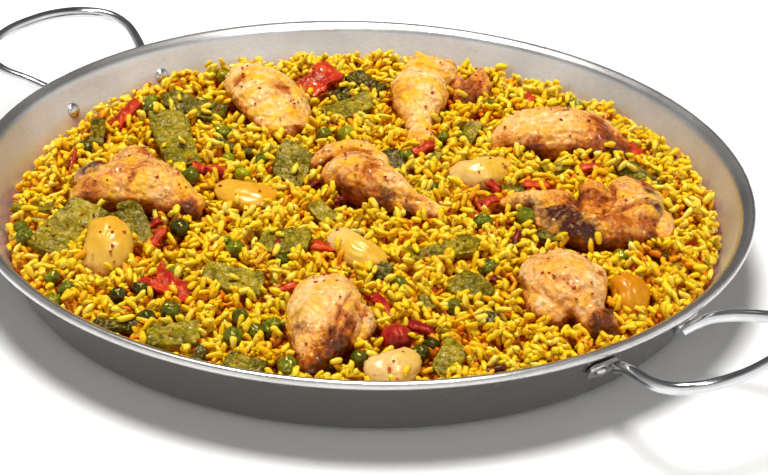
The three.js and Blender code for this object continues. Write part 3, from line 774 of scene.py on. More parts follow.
# A limb gives how blunt its ends are, less being blunter, and stations of (x, y, z, half-width, half-height).
# Roast and char are spots of (x, y, radius, depth). Folds are lines of ([(x, y), ...], width, height) along
# which the skin sinks or rises. Ridges give the way the skin is drawn, in degrees, and how deep it puckers.
chicken = {
    "chicken_broad_wing": {
        "limbs": [
            (0.22, [
                (-70, 147, 27, 14, 8), (-62, 127, 32, 17, 11), (-50, 102, 32, 19, 11),
                (-39, 76, 26, 17, 9),
            ]),
            (0.36, [(-57, 140, 28, 6, 7), (-42, 118, 29, 8, 8), (-32, 92, 27, 7, 7)]),
        ],
        "blush": 0.1,
        "roast": [
            (-69, 116, 6, 0.6), (-47, 105, 8, 0.6), (-36, 84, 7, 0.4), (-71, 92, 6, 0.45),
            (-74, 140, 5, 0.3),
        ],
        "folds": [
            ([(-74, 112), (-58, 124), (-46, 132)], 2.0, -0.7),
            ([(-70, 98), (-52, 110), (-40, 120)], 2.2, -0.8),
            ([(-62, 88), (-48, 96), (-34, 104)], 2.0, -0.7),
            ([(-54, 82), (-42, 88), (-32, 94)], 1.8, -0.6),
            ([(-60, 140), (-46, 116), (-37, 90)], 1.6, -1.2),
        ],
        "ridges": (42, 0.5),
    },
    "chicken_drumette_back": {
        "limbs": [
            (0.5, [
                (31, 78, 23, 8, 6), (29, 95, 26, 9, 8), (28, 111, 30, 14, 11), (29, 130, 33, 18, 12),
                (31, 146, 33, 15, 11),
            ]),
            (0.36, [(19, 140, 32, 8, 9), (29, 146, 34, 9, 10), (40, 142, 34, 10, 10), (47, 136, 31, 8, 8)]),
            (0.36, [(23, 147, 35, 7, 8), (31, 149, 36, 7, 8)]),
            (0.36, [(40, 147, 35, 8, 8), (46, 142, 34, 7, 8)]),
            (0.36, [(25, 90, 24, 8, 6), (35, 76, 23, 9, 6)]),
        ],
        "blush": 0.1,
        "roast": [
            (19, 112, 6, 0.5), (15, 120, 6, 0.45), (28, 79, 9, 0.5), (28, 152, 8, 0.3), (45, 150, 9, 0.5),
        ],
        "char": [(52, 138, 5, 0.4), (14, 134, 4, 0.2)],
        "folds": [
            ([(13, 142), (24, 146), (36, 142), (46, 132)], 1.2, -1.0),
            ([(35, 145), (37, 156)], 1.1, -1.2), ([(18, 94), (24, 102), (22, 114)], 2.5, -0.8),
        ],
        "ridges": (10, 0.25),
    },
    "chicken_scrap_back": {
        "limbs": [
            (0.36, [(52, 126, 22, 6, 6), (49, 136, 28, 7, 6), (47, 146, 35, 4, 4)]),
            (0.36, [(53, 128, 22, 6, 6), (59, 138, 28, 7, 7), (63, 152, 35, 4, 4)]),
            (0.36, [(62, 130, 24, 6, 6), (63, 146, 33, 6, 6)]),
        ],
        "blush": 0.1,
        "roast": [(56, 138, 25, 0.6), (58, 130, 8, 0.4)],
        "char": [(55, 130, 6, 0.45)],
        "ridges": (70, 0.4),
    },
    "chicken_breast_right": {
        "limbs": [
            (0.36, [(64, 74, 24, 10, 8), (86, 82, 29, 19, 12), (114, 84, 30, 21, 12), (142, 68, 25, 13, 9)]),
        ],
        "blush": 0.75,
        "roast": [
            (133, 68, 17, 1.0), (86, 60, 8, 0.7), (92, 66, 6, 0.5), (122, 86, 12, 0.5), (74, 70, 9, 0.6),
            (100, 94, 9, 0.5), (112, 62, 10, 0.5),
        ],
        "folds": [
            ([(70, 66), (86, 56), (104, 58)], 2.5, -1.0), ([(110, 90), (126, 84), (138, 72)], 2.5, -0.8),
        ],
        "ridges": (20, 0.55),
    },
    "chicken_folded_wing": {
        "limbs": [
            (0.36, [(70, 8, 25, 6, 6), (84, 7, 27, 7, 7), (98, 6, 28, 8, 8), (112, 4, 29, 9, 9)]),
            (0.36, [(117, 11, 29, 7, 8), (118, 3, 33, 8.5, 10), (120, -8, 32, 7, 8)]),
            (0.36, [
                (126, 18, 28, 9, 8), (132, 14, 31, 14, 10), (138, 4, 32, 16, 11), (138, -6, 31, 16, 11),
                (130, -16, 30, 12, 10), (121, -22, 27, 8, 7),
            ]),
            (0.36, [(82, 1, 22, 7, 6), (98, -6, 25, 14, 8), (118, -11, 28, 17, 9), (142, -12, 28, 14, 9)]),
            (0.36, [
                (92, -13, 23, 7, 6), (108, -21, 26, 10, 9), (128, -25, 29, 11, 11), (150, -21, 28, 10, 9),
            ]),
            (0.36, [(149, 4, 26, 6, 6), (154, -10, 26, 6, 7), (152, -24, 24, 6, 5)]),
        ],
        "blush": 0.45,
        "roast": [
            (112, -6, 50, 0.4), (118, -4, 10, 0.3), (130, -28, 14, 0.4), (145, 10, 9, 0.45),
            (103, -4, 9, 0.5), (76, 12, 8, 0.3), (146, -24, 8, 0.4), (124, 30, 6, 0.4),
        ],
        "char": [
            (78, 3, 6, 0.5), (86, -1, 6, 0.7), (94, -5, 6, 0.8), (102, -10, 7, 0.9), (108, -17, 8, 0.9),
            (97, -14, 7, 0.8), (105, -25, 8, 1.0), (112, -31, 8, 1.0), (118, -36, 7, 0.7),
            (147, 1, 4.5, 1.4), (150, -10, 4.5, 1.2),
        ],
        "folds": [
            ([(106, -9), (116, -15), (123, -21)], 1.6, -1.8),
            ([(125, 18), (127, 6), (127, -8), (121, -18)], 1.3, -3.2),
            ([(122, -22), (131, -17), (139, -13), (148, -8)], 1.5, -2.8),
            ([(110, 12), (108, 3), (111, -9)], 1.5, -2.0), ([(139, 18), (146, 4)], 1.2, -0.9),
            ([(134, 20), (135, 8), (131, -8), (124, -17)], 2.6, 0.8),
        ],
        "ridges": (-50, 0.35),
    },
    "chicken_wing_left": {
        "limbs": [
            (0.36, [
                (-150, -3, 23, 11, 8), (-133, 2, 29, 19, 12), (-113, 3, 31, 21, 13),
                (-96, -6, 29, 16, 12), (-80, -17, 26, 13, 10),
            ]),
            (0.36, [(-131, 20, 28, 9, 7), (-118, 24, 32, 11, 10), (-107, 17, 32, 9, 8)]),
            (0.36, [(-147, 9, 24, 8, 7), (-138, 15, 29, 9, 7), (-128, 18, 30, 8, 7)]),
            (0.36, [(-98, -2, 28, 10, 9), (-84, -10, 28, 9, 9)]),
        ],
        "blush": 0.05,
        "roast": [
            (-115, 0, 50, 0.3), (-129, 13, 6, 0.5), (-139, -8, 9, 0.35), (-83, -20, 8, 0.7),
            (-113, 24, 6, 0.4), (-118, 0, 9, 0.25), (-90, -18, 8, 0.4), (-145, 0, 6, 0.4),
        ],
        "char": [(-140, 13, 7, 1.1), (-133, 17, 5, 0.9), (-137, 4, 4, 0.8), (-82, -24, 5, 0.4)],
        "folds": [
            ([(-116, -6), (-118, -14), (-117, -20)], 1.4, -2.0),
            ([(-131, 10), (-126, 18), (-128, 26)], 1.5, -1.6),
            ([(-146, 4), (-137, 8), (-130, 16)], 1.5, -1.2),
        ],
        "ridges": (-60, 0.5),
    },
    "chicken_drumette_middle": {
        "limbs": [
            (0.36, [
                (-22, 24, 27, 14, 12), (-6, 23, 31, 18, 14), (10, 12, 30, 14, 12), (26, 1, 27, 9, 9),
                (43, -8, 26, 8.5, 8),
            ]),
            (0.36, [
                (-27, 35, 28, 7, 6), (-18, 43, 32, 7, 7), (-3, 44, 34, 8, 7), (8, 36, 33, 6, 6),
                (15, 27, 29, 4, 4),
            ]),
            (0.36, [(-14, 36, 29, 10, 10), (8, 30, 29, 9, 9)]),
        ],
        "blush": 0.25,
        "roast": [
            (0, 20, 60, 0.1), (2, 8, 13, 0.45), (-22, 34, 9, 0.5), (-4, 34, 12, 0.3), (6, 22, 10, 0.2),
            (-18, 6, 9, 0.5), (28, -4, 9, 0.25), (-26, 14, 6, 0.4),
        ],
        "char": [(14, -3, 6, 0.7), (22, -7, 6, 0.7), (8, -6, 5, 0.6), (30, -11, 5, 0.5), (45, -7, 3, 0.6)],
        "folds": [
            ([(-25, 20), (-21, 30), (-12, 38), (1, 36), (9, 28)], 1.3, -1.6),
            ([(-21, 22), (-16, 28), (-9, 24), (-12, 16), (-20, 16), (-21, 22)], 1.1, -1.3),
            ([(7, 0), (18, -3), (32, -3)], 1.8, -2.0), ([(12, 20), (22, 10), (36, 1)], 1.6, -1.0),
            ([(36, 6), (38, -4), (36, -12)], 1.4, -1.2), ([(-22, 8), (-14, 4), (-12, -3)], 1.6, -1.2),
        ],
        "ridges": (-30, 0.3),
    },
    "chicken_wing_front": {
        "limbs": [
            (0.36, [
                (-9, -84, 25, 12, 8), (-13, -104, 32, 17, 12), (-15, -128, 33, 18, 13),
                (-17, -150, 28, 14, 11), (-21, -167, 22, 7, 7),
            ]),
            (0.36, [(-4, -112, 30, 7, 7), (1, -126, 29, 9, 8), (-3, -144, 25, 8, 7)]),
        ],
        "blush": 0.5,
        "roast": [
            (-14, -160, 10, 0.8), (-6, -152, 8, 0.8), (2, -126, 6, 0.5), (-3, -140, 9, 0.5),
            (-1, -108, 5, 0.35), (-22, -168, 8, 0.7), (-27, -146, 6, 0.4),
        ],
        "char": [
            (-27, -138, 4, 0.7), (-25, -146, 5, 0.5), (-13, -156, 7, 0.7), (-19, -166, 5, 0.5),
            (-5, -152, 5, 0.4),
        ],
        "folds": [
            ([(-1, -120), (-5, -134), (-9, -150)], 1.3, -1.8),
            ([(2, -124), (-1, -138), (-5, -150)], 1.0, -1.4),
            ([(5, -126), (3, -140), (-2, -148)], 1.0, -1.2),
            ([(-24, -150), (-14, -152), (-6, -146)], 1.6, -1.2), ([(-12, -138), (-10, -152)], 1.0, -1.0),
        ],
        "ridges": (60, 0.35),
    },
    "chicken_wing_right": {
        "limbs": [
            (0.36, [
                (86, -56, 26, 12, 7), (95, -72, 31, 20, 12), (104, -94, 32, 19, 13),
                (115, -115, 27, 12, 10),
            ]),
            (0.36, [(113, -106, 27, 10, 9), (121, -121, 25, 10, 9)]),
            (0.36, [(106, -62, 28, 7, 7), (114, -76, 30, 8, 8), (116, -94, 28, 8, 8)]),
            (0.36, [(84, -66, 26, 8, 6), (92, -100, 27, 9, 8), (102, -112, 26, 8, 8)]),
        ],
        "blush": 0.85,
        "roast": [
            (86, -68, 8, 0.45), (90, -82, 10, 0.35), (96, -98, 10, 0.35), (104, -108, 9, 0.35),
            (120, -118, 8, 0.7), (114, -120, 7, 0.5), (119, -80, 4, 0.5),
        ],
        "char": [(122, -112, 3, 1.4), (120, -119, 7, 0.7), (112, -120, 5, 0.6), (118, -108, 5, 0.5)],
        "folds": [
            ([(111, -64), (116, -76), (117, -92)], 1.5, -1.4),
            ([(108, -104), (116, -102), (124, -106)], 1.6, -1.5),
            ([(98, -62), (101, -78), (100, -94)], 3.0, 0.7),
        ],
        "ridges": (-50, 0.3),
    },
}


def cooked_chicken(name, limbs, blush, roast, ridges, char=(), folds=()):
    """One piece: limbs joined, its skin lumped, puckered and folded, and painted where it browned and as
    shade.
    """
    skin = welded(name, [limb(*shape) for shape in limbs], voxel)
    points = vertex_array(skin)
    outward = vertex_array(skin, "normal")
    shift = random.uniform(0, 50)
    angle, depth = math.radians(ridges[0]), ridges[1]
    lengthways = points @ (math.cos(angle), math.sin(angle), 0)
    across = points @ (-math.sin(angle), math.cos(angle), 0)
    puckered = lumps(np.column_stack([lengthways * 0.35, across, points[:, 2] * 0.6]), 3.6, 2, shift)
    swell = 0.8 * lumps(points, 15, 2, shift) + 0.5 * lumps(points, 5.5, 2, shift) + 1.3 * depth * puckered
    pinched = creases(points * (1, 1.4, 1), 10, shift)
    pores = (0.1 + 0.4 * depth) * lumps(points, 2.6, 2, shift)
    upper = outward[:, 2].clip(0, 0.6) / 0.6
    drawn = along_lines(points, folds) * upper
    paint(
        skin,
        blush=np.clip(blush + 0.4 * lumps(points, 14, 2, shift + 9), 0, 1),
        # painted shade: besides the browned spots, roast is raised on the undersides, along the creases and
        # in the sunken folds
        roast=0.85 * blobs(points, roast) + 0.12 * pinched - 0.12 * drawn.clip(-3, 0) + 0.5 * (1 - upper),
        # painted shade: pieces with many burnt spots are also painted burnt on their undersides
        char=blobs(points, char) * (0.5 + 0.5 * upper) + 0.2 * (1 - upper) * (len(char) > 2),
    )
    points = points + outward * (swell - 0.6 * pinched + pores + drawn)[:, None]
    set_points(skin, in_place(points))
    return skin, points


toppings = []  # the points of every topping, mm, for the rice to lie against
skin_finish = roast_skin()
for chicken_name, cut in chicken.items():
    skin, points = cooked_chicken(chicken_name, **cut)
    toppings.append(points)
    piece = link_piece(chicken_name.replace("chicken_", "roast_"), skin, skin_finish)
    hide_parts(chicken_name)


# ---- The butter beans ----
# Six large flat beans, boiled soft: cream to golden, smooth and shiny, with a tight skin that wrinkles a
# little at the hollow side and lets light in.
butter_beans = [  # x, y, height of the middle, turn, lean, (length, width, thickness), gold
    (-124, -60, 28, 84, 34, (36, 28, 16), 0.35),
    (-59, 9, 24.5, -14, 6, (36, 25, 12), 0.6),
    (62, 41, 26.5, 18, 14, (35, 24, 14), 0.2),
    (-1, -49, 26.5, -40, 16, (38, 21, 12), 0.25),
    (132, -85, 27, 100, 28, (27, 21, 13), 1.0),
    (19, -160, 25.5, 24, 18, (29, 23, 13), 0.05),
]


def ball(rings, sides):
    """A unit sphere of (points, faces), its poles up and down."""
    points = [(0, 0, 1)]
    for i in range(1, rings):
        for k in range(sides):
            polar, a = np.pi * i / rings, 2 * np.pi * k / sides
            points.append((np.sin(polar) * np.cos(a), np.sin(polar) * np.sin(a), np.cos(polar)))
    points.append((0, 0, -1))
    return np.array(points), capped_rings(rings, sides)


def laid(points, x, y, z, turn, lean):
    """Turns a shape about the upright, leans it towards the diner and puts it in its place."""
    pose = Matrix.Rotation(math.radians(lean), 3, "X") @ Matrix.Rotation(math.radians(turn), 3, "Z")
    return np.asarray(points) @ np.array(pose).T + (x, y, z)


def mottled(tree, label, pattern, amount):
    """What is painted on the piece under a label, made uneven by a pattern."""
    uneven = math_node(tree, "MULTIPLY_ADD", pattern, amount, -amount / 2)
    return math_node(tree, "ADD", attribute(tree, label), uneven)


def boiled_bean_skin():
    flesh, oil = (0.4, 0.003, (1.0, 0.55, 0.15)), (0.25, 0.2)
    made, tree, shader, place = juicy("boiled_bean_skin", 0.25, flesh, oil)
    veins = pocked(tree, place, 3.0, 5.0, 0.65)
    gold = mottled(tree, "gold", pocked(tree, place, 14.0), 0.5)
    tint = ramp(tree, gold, (0.0, "e2bc78"), (0.3, "deb03c"), (0.7, "d69818"), (1.0, "ca8006"))
    give(
        shader,
        Base_Color=flecked(tree, tint, veins, 0.52, 0.75, 0.4, "a8661a"),
        Roughness=stretched(tree, veins, 0.0, 1.0, 0.22, 0.4),
        Normal=raised(tree, veins, 0.4, 0.0009),
    )
    return made


bean_finish = boiled_bean_skin()
for number, (*spot, turn, lean, size, gold) in enumerate(butter_beans, 1):
    points, faces = ball(34, 44)
    x, y, z = points.T
    half = np.array(size) / 2
    hollow = 0.18 * (1 - 2.5 * x * x).clip(0) * y.clip(0)
    points = np.column_stack([x, y - hollow + 0.1 * x * x, z]) * half
    shift = random.uniform(0, 50)
    wrinkle = creases(points * (0.5, 1.5, 1), 9, shift) * (0.35 + 0.65 * y.clip(0))
    fine_wrinkle = creases(points * (0.4, 1.6, 1), 4, shift)
    dent = lumps(points, 11, 2, shift) - 0.8 * wrinkle - 0.45 * fine_wrinkle
    points = points * (1 + dent[:, None] / half[1])
    # painted shade: the underside of each bean is painted a deeper gold, on top of its tone along its length
    gold = gold + 0.22 * points[:, 0] / half[0] + 0.35 * (0.2 - points[:, 2] / half[2]).clip(0)
    points = laid(points, *spot, turn, lean)
    toppings.append(points)
    mesh = plain_mesh("bean", in_place(points), faces)
    paint(mesh, gold=gold)
    piece = link_piece(f"boiled_bean_{number}", mesh, bean_finish)
    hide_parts(f"butter_bean_{number}")


# ---- The flat beans ----
# Cut lengths of flat green bean, stewed until they are olive: thin and lens-shaped across, curled, square or
# slanting at the ends, with a thin rib along each edge and the seeds showing through the skin.
pod_voxel = 0.55
pods = [  # x, y, height of the middle, turn, lean, length, width, thickness, curl, slant, darkness
    (-100, 64, 27.5, 106, 10, 50, 20, 5, 1.6, 0.15, 0.2),
    (-93, 106, 26.5, -24, 12, 36, 15, 5, 1.4, 0, 0.55),
    (-1, 141, 27.5, -38, 12, 22, 11, 6, 2, 0, 0.9),
    (-10, 110, 27, 34, 12, 30, 15, 5, 1, 0.3, 0.2),
    (-37, 40, 27.5, 78, 24, 26, 19, 5, 1, 0.3, 0.3),
    (-146, -38, 26.5, 58, 14, 42, 23, 5, 1.4, 0, 0.2),
    (-112, -33, 27, -68, 34, 27, 13, 5, 1, 0.2, 0.4),
    (-166, -12, 23.5, -4, -12, 23, 9, 3.4, 1, 0, 0.3),
    (-142, 65, 25, 84, 46, 24, 8, 3.6, 1, 0, 0.3),
    (-37, -42, 26, 14, 10, 27, 18, 5, 1, 0.25, 0.2),
    (-60, -84, 26.5, -16, 12, 31, 18, 5, 1, -0.2, 0.2),
    (-85, -138, 25.5, 8, 8, 25, 17, 5, 1.4, 0, 0.25),
    (-50, -161, 24.5, -22, 8, 20, 11, 5, 1, 0, 0.4),
    (43, -48, 26.5, 20, 24, 36, 11, 5, -2.4, 0, 0.15),
    (56, -84, 26.5, -38, 16, 22, 17, 5, -1.6, 0, 0.35),
    (45, -153, 26, 70, 34, 21, 13, 5, 1, 0.3, 0.15),
    (147, 41, 25.5, -46, 12, 33, 12, 5, 1, 0, 0.45),
    (17, 45, 26.5, -72, 24, 22, 10, 5, 1.6, 0, 0.95),
    (56, 87, 26, 70, 16, 18, 9, 6, 1, 0, 0.3),
    (101, 50, 25.5, 26, 8, 16, 8, 7, 1, 0, 0.0),
    (-19, -9, 25, -52, 18, 16, 10, 5, 1, 0, 0.1),
]
bean_scraps = [  # x, y, height of the middle, turn, lean, length, width, thickness, darkness
    (-113, -128, 24, 10, 8, 22, 8, 5, 0.95),
    (156, -49, 23.5, 10, 8, 11, 6, 4, 0.1),
    (-68, 63, 24.5, -24, 8, 24, 7, 4, 0.7),
    (-15, 128, 26, 30, 14, 13, 9, 5, 1.0),
    (65, -114, 25.5, 84, 20, 13, 6, 4, 0.8),
    (36, 52, 26, 62, 20, 17, 5, 3, 0.1),
    (34, -99, 26, -66, 20, 11, 5, 4, 0.2),
    (-120, -20, 25, 36, 14, 12, 8, 6, 0.6),
    (-72, -154, 24, 78, 10, 14, 6, 4, 0.95),
    (78, 24, 25, 4, 14, 12, 7, 5, 0.5),
    (96, -24, 25, -14, 12, 14, 8, 5, 0.5),
    (12, -68, 25, 60, 10, 14, 8, 5, 0.8),
    (150, -38, 24, -40, 16, 9, 5, 4, 0.7),
]


def slab(long, wide, thick, lengthways=20, across=12):
    """A flat block of (points, faces) with a fine grid, its six sides closed."""
    points, index, faces = [], {}, []
    for k in (0, 1):
        for i in range(lengthways + 1):
            for j in range(across + 1):
                index[i, j, k] = len(points)
                points.append(((i / lengthways - 0.5) * long, (j / across - 0.5) * wide, (k - 0.5) * thick))
    for i in range(lengthways):
        for j in range(across):
            for k in (0, 1):
                faces.append([index[a, b, k] for a, b in ((i, j), (i + 1, j), (i + 1, j + 1), (i, j + 1))])
    for i in range(lengthways):
        for j in (0, across):
            faces.append([index[i, j, 0], index[i + 1, j, 0], index[i + 1, j, 1], index[i, j, 1]])
    for j in range(across):
        for i in (0, lengthways):
            faces.append([index[i, j, 0], index[i, j + 1, 0], index[i, j + 1, 1], index[i, j, 1]])
    return np.array(points), faces


def pod_shape(long, wide, thick, curl, slant):
    """A length of pod before its skin is made: lens-shaped across, curled, and slanting at its ends."""
    points, faces = slab(long, wide, thick)
    u, w = points[:, 0] / (long / 2), points[:, 1] / (wide / 2)
    points[:, 2] = points[:, 2] * (1 - 0.35 * w * w) - curl * (1 - u * u) + 0.6 * curl * w * w
    points[:, 0] += slant * points[:, 1] - 0.03 * long * u * w * w
    points[:, 1] *= 1 - 0.14 * u**4 + 0.06 * np.sin(3 * u + long)
    return points, faces


def stewed_pod(name, x, y, z, turn, lean, long, wide, thick, curl=1.0, slant=0.0, dark=0.2):
    """One cut length, its seeds bulging in a row, its edges ribbed and its skin puckered, in mm."""
    pod = welded(name, [pod_shape(long, wide, thick, curl, slant)], pod_voxel)
    points = vertex_array(pod)
    outward = vertex_array(pod, "normal")
    shift = random.uniform(0, 50)
    edge = np.abs(points[:, 1]) / (wide / 2)
    ribs = 0.4 * np.exp(-(((edge - 0.88) / 0.07) ** 2))
    seeds = 0.9 * np.cos(points[:, 0] * 2 * np.pi / 12 + shift).clip(0) ** 2 * np.exp(-((edge / 0.45) ** 2))
    pucker = 0.9 * lumps(points, 6, 3, shift) - 0.5 * creases(points * (1.3, 0.4, 1), 8, shift)
    points = points + outward * (ribs + seeds * min(1, wide / 16) + pucker * min(1, thick / 4))[:, None]
    paint(pod, dark=np.clip(dark + 0.3 * lumps(points, 9, 2, shift), 0, 1.2))
    points = laid(points, x, y, z, turn, lean)
    set_points(pod, in_place(points))
    return pod, points


def stewed_green():
    flesh, oil = (0.15, 0.0015, (1.0, 0.9, 0.1)), (0.12, 0.1)
    made, tree, shader, place = juicy("stewed_green", 0.3, flesh, oil)
    soft = pocked(tree, place, 6.0, 4.0, 0.7)
    fine = pocked(tree, place, 1.9, 2.0)
    specks = pocked(tree, place, 2.6, 2.0)
    depth = mottled(tree, "dark", soft, 1.3)
    tint = ramp(tree, depth, (0.0, "988408"), (0.3, "685e02"), (0.62, "3c4002"), (1.0, "161a02"))
    tint = flecked(tree, tint, specks, 0.54, 0.7, 0.5, "a87810")
    # painted highlight: pale specks on the tops of the fine bumps
    tint = flecked(tree, tint, fine, 0.56, 0.68, 0.45, "c8b848")
    give(
        shader,
        # painted shade: dark specks in the hollows of the fine bumps
        Base_Color=flecked(tree, tint, fine, 0.46, 0.34, 0.5, "2c2e02"),
        Roughness=stretched(tree, fine, 0.0, 1.0, 0.2, 0.45),
        Normal=raised(tree, fine, 0.7, 0.0014),
        Coat_Normal=raised(tree, soft, 0.6, 0.0012),
    )
    return made


def joined(name, meshes):
    """Several meshes as one, with what is painted on them."""
    shell = bmesh.new()
    for mesh in meshes:
        shell.from_mesh(mesh)
    made = bpy.data.meshes.new(name)
    shell.to_mesh(made)
    shell.free()
    return made


pod_finish = stewed_green()
for number, pod in enumerate(pods, 1):
    mesh, points = stewed_pod("pod", *pod)
    toppings.append(points)
    piece = link_piece(f"stewed_bean_{number}", mesh, pod_finish)
    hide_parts(f"flat_bean_{number}")

scraps = [stewed_pod("scrap", *scrap, dark=dark) for *scrap, dark in bean_scraps]
toppings += [points for mesh, points in scraps]
piece = link_piece("stewed_bean_scraps", joined("scraps", [mesh for mesh, points in scraps]), pod_finish)


# ---- The red pepper and the little tomato ----
# Torn strips of roasted red pepper, thin, curled and wet, with frayed edges, and a cherry-sized red fruit
# whose skin has split at the top.
strip_voxel = 0.5
peppers = [  # x, y, height of the middle, turn, lean, length, width, thickness, curl, taper
    (-27, 141, 28, 48, 20, 27, 17, 3, 2, 0.1),
    (-129, 91, 26, 62, 18, 27, 9, 4, 2, 0.25),
    (-80, 32, 26.5, -8, 28, 18, 10, 4, -2, 0.25),
    (88, 128, 25.5, 72, 26, 15, 8, 3, 2, 0.25),
    (143, 70, 25.5, 62, 30, 11, 8, 4, 2, 0.1),
    (32, 66, 26, 34, 10, 14, 6, 4, 2, 0.25),
    (-91, -93, 26, -40, 18, 26, 19, 3, 2, 0.3),
    (12, -103, 26, -58, 14, 17, 8, 4, 2, 0.25),
]
pepper_scraps = [  # x, y, height of the middle, turn, lean, length, width, ripeness
    (-103, -30, 26.5, 30, 20, 8, 6, 0.8),
    (-100, -43, 26.5, 60, 20, 12, 6, 0.9),
    (-151, 37, 25.5, 84, 30, 17, 3.4, 0.8),
    (-49, 156, 27, 20, 20, 7, 4, 0.3),
    (-25, 20, 26, 40, 10, 8, 5, 0.2),
    (92, 29, 25.5, -14, 14, 17, 6, 1.2),
    (68, 25, 26.5, -52, 24, 10, 6, 0.8),
    (65, 6, 27, 34, 24, 12, 8, 1.1),
    (118, 51, 26, 8, 14, 13, 6, 1.4),
    (-41, -52, 27, 80, 30, 12, 4, 0.4),
    (-16, -48, 26, -20, 18, 15, 7, 1.2),
    (-34, -90, 25.5, 18, 10, 15, 6, 0.9),
    (78, -35, 27, 76, 30, 15, 5, 0.3),
    (31, -124, 26, -24, 18, 14, 8, 0.6),
    (6, -126, 25, 40, 12, 12, 7, 0.4),
    (26, -147, 24.5, 10, 10, 12, 6, 0.2),
    (146, -45, 25.5, 6, 18, 15, 5, 0.3),
    (169, -36, 23, -30, 16, 16, 6, 0.7),
    (164, -30, 23.5, 30, 20, 13, 6, 0.5),
    (68, -76, 27, -40, 30, 6, 5, 0.3),
    (67, -156, 24, 10, 10, 9, 5, 0.2),
    (122, -139, 22.5, 40, 10, 5, 4, 0.5),
    (-11, 4, 26, 12, 14, 6, 4, 0.3),
]
tomato_place, tomato_turn, tomato_lean = (20, -136, 27), 20, 15
tomato_width, tomato_flatness = 15.5, 0.92


def pepper_strip(name, x, y, z, turn, lean, long, wide, thick=3.0, curl=2.0, taper=0.25, ripe=0.85):
    """One torn strip, lengthways curled, its edges frayed and its skin wrinkled, in mm."""
    points, faces = slab(long, wide, thick)
    u, w = points[:, 0] / (long / 2), points[:, 1] / (wide / 2)
    points[:, 1] *= 1 - taper * (1 + u) + 0.12 * np.sin(2.4 * u)
    points[:, 2] += curl * min(1, wide / 8) * (w * w - 0.5 * u * u) + 0.5 * np.sin(3 * u)
    shift = random.uniform(0, 50)
    fray = 0.12 * wide * lumps(points * (1, 0.2, 0), 4, 2, shift)
    points[:, 1] += fray * w
    strip = welded(name, [(points, faces)], strip_voxel)
    points = vertex_array(strip)
    outward = vertex_array(strip, "normal")
    wrinkle = 0.5 * lumps(points, 5, 3, shift) - 0.5 * creases(points * (0.6, 1.3, 1), 6, shift)
    points = points + outward * wrinkle[:, None] * min(1, wide / 8)
    paint(strip, ripe=ripe + 0.25 * lumps(points, 7, 2, shift))
    points = laid(points, x, y, z, turn, lean)
    set_points(strip, in_place(points))
    return strip, points


def roasted_red():
    flesh, oil = (0.2, 0.002, (1.0, 0.2, 0.1)), (0.35, 0.08)
    made, tree, shader, place = juicy("roasted_red", 0.25, flesh, oil)
    fine = pocked(tree, place, 1.5, 4.0, 0.7)
    ripe = mottled(tree, "ripe", pocked(tree, place, 6.0, 4.0), 0.8)
    tint = ramp(tree, ripe, (0.0, "38040a"), (0.4, "7e0c10"), (0.75, "ac1814"), (1.0, "c83e16"))
    give(
        shader,
        Base_Color=flecked(tree, tint, fine, 0.58, 0.8, 0.4, "d8681c"),
        Roughness=stretched(tree, fine, 0.0, 1.0, 0.16, 0.4),
        Normal=raised(tree, fine, 0.4, 0.0008),
    )
    return made


red_finish = roasted_red()
for number, strip in enumerate(peppers, 1):
    mesh, points = pepper_strip("strip", *strip)
    toppings.append(points)
    piece = link_piece(f"roasted_pepper_{number}", mesh, red_finish)
    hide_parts(f"pepper_{number}")

scraps = [pepper_strip("scrap", *scrap, ripe=ripe) for *scrap, ripe in pepper_scraps]
toppings += [points for mesh, points in scraps]
piece = link_piece("roasted_pepper_scraps", joined("scraps", [mesh for mesh, points in scraps]), red_finish)

points, faces = ball(30, 40)
top = points[:, 2].clip(0)
split = np.exp(-(((points[:, 0] - 0.1) / 0.1) ** 2)) * (points[:, 2] - 0.5).clip(0)
folds = 0.05 * creases(points * (1, 1, 0.4), 0.7) * top
sag = 1 + 0.03 * lumps(points, 0.6, 2) - 0.12 * split - folds
points = points * sag[:, None] * np.array([1, 1, tomato_flatness]) * tomato_width / 2
# painted shade: the tomato is painted darker underneath and brighter on top
ripe = 0.55 + 0.3 * points[:, 2] / tomato_width
points = laid(points, *tomato_place, tomato_turn, tomato_lean)
toppings.append(points)
mesh = plain_mesh("tomato", in_place(points), faces)
paint(mesh, ripe=ripe)
piece = link_piece("split_tomato", mesh, red_finish)
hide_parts("cherry_tomato")
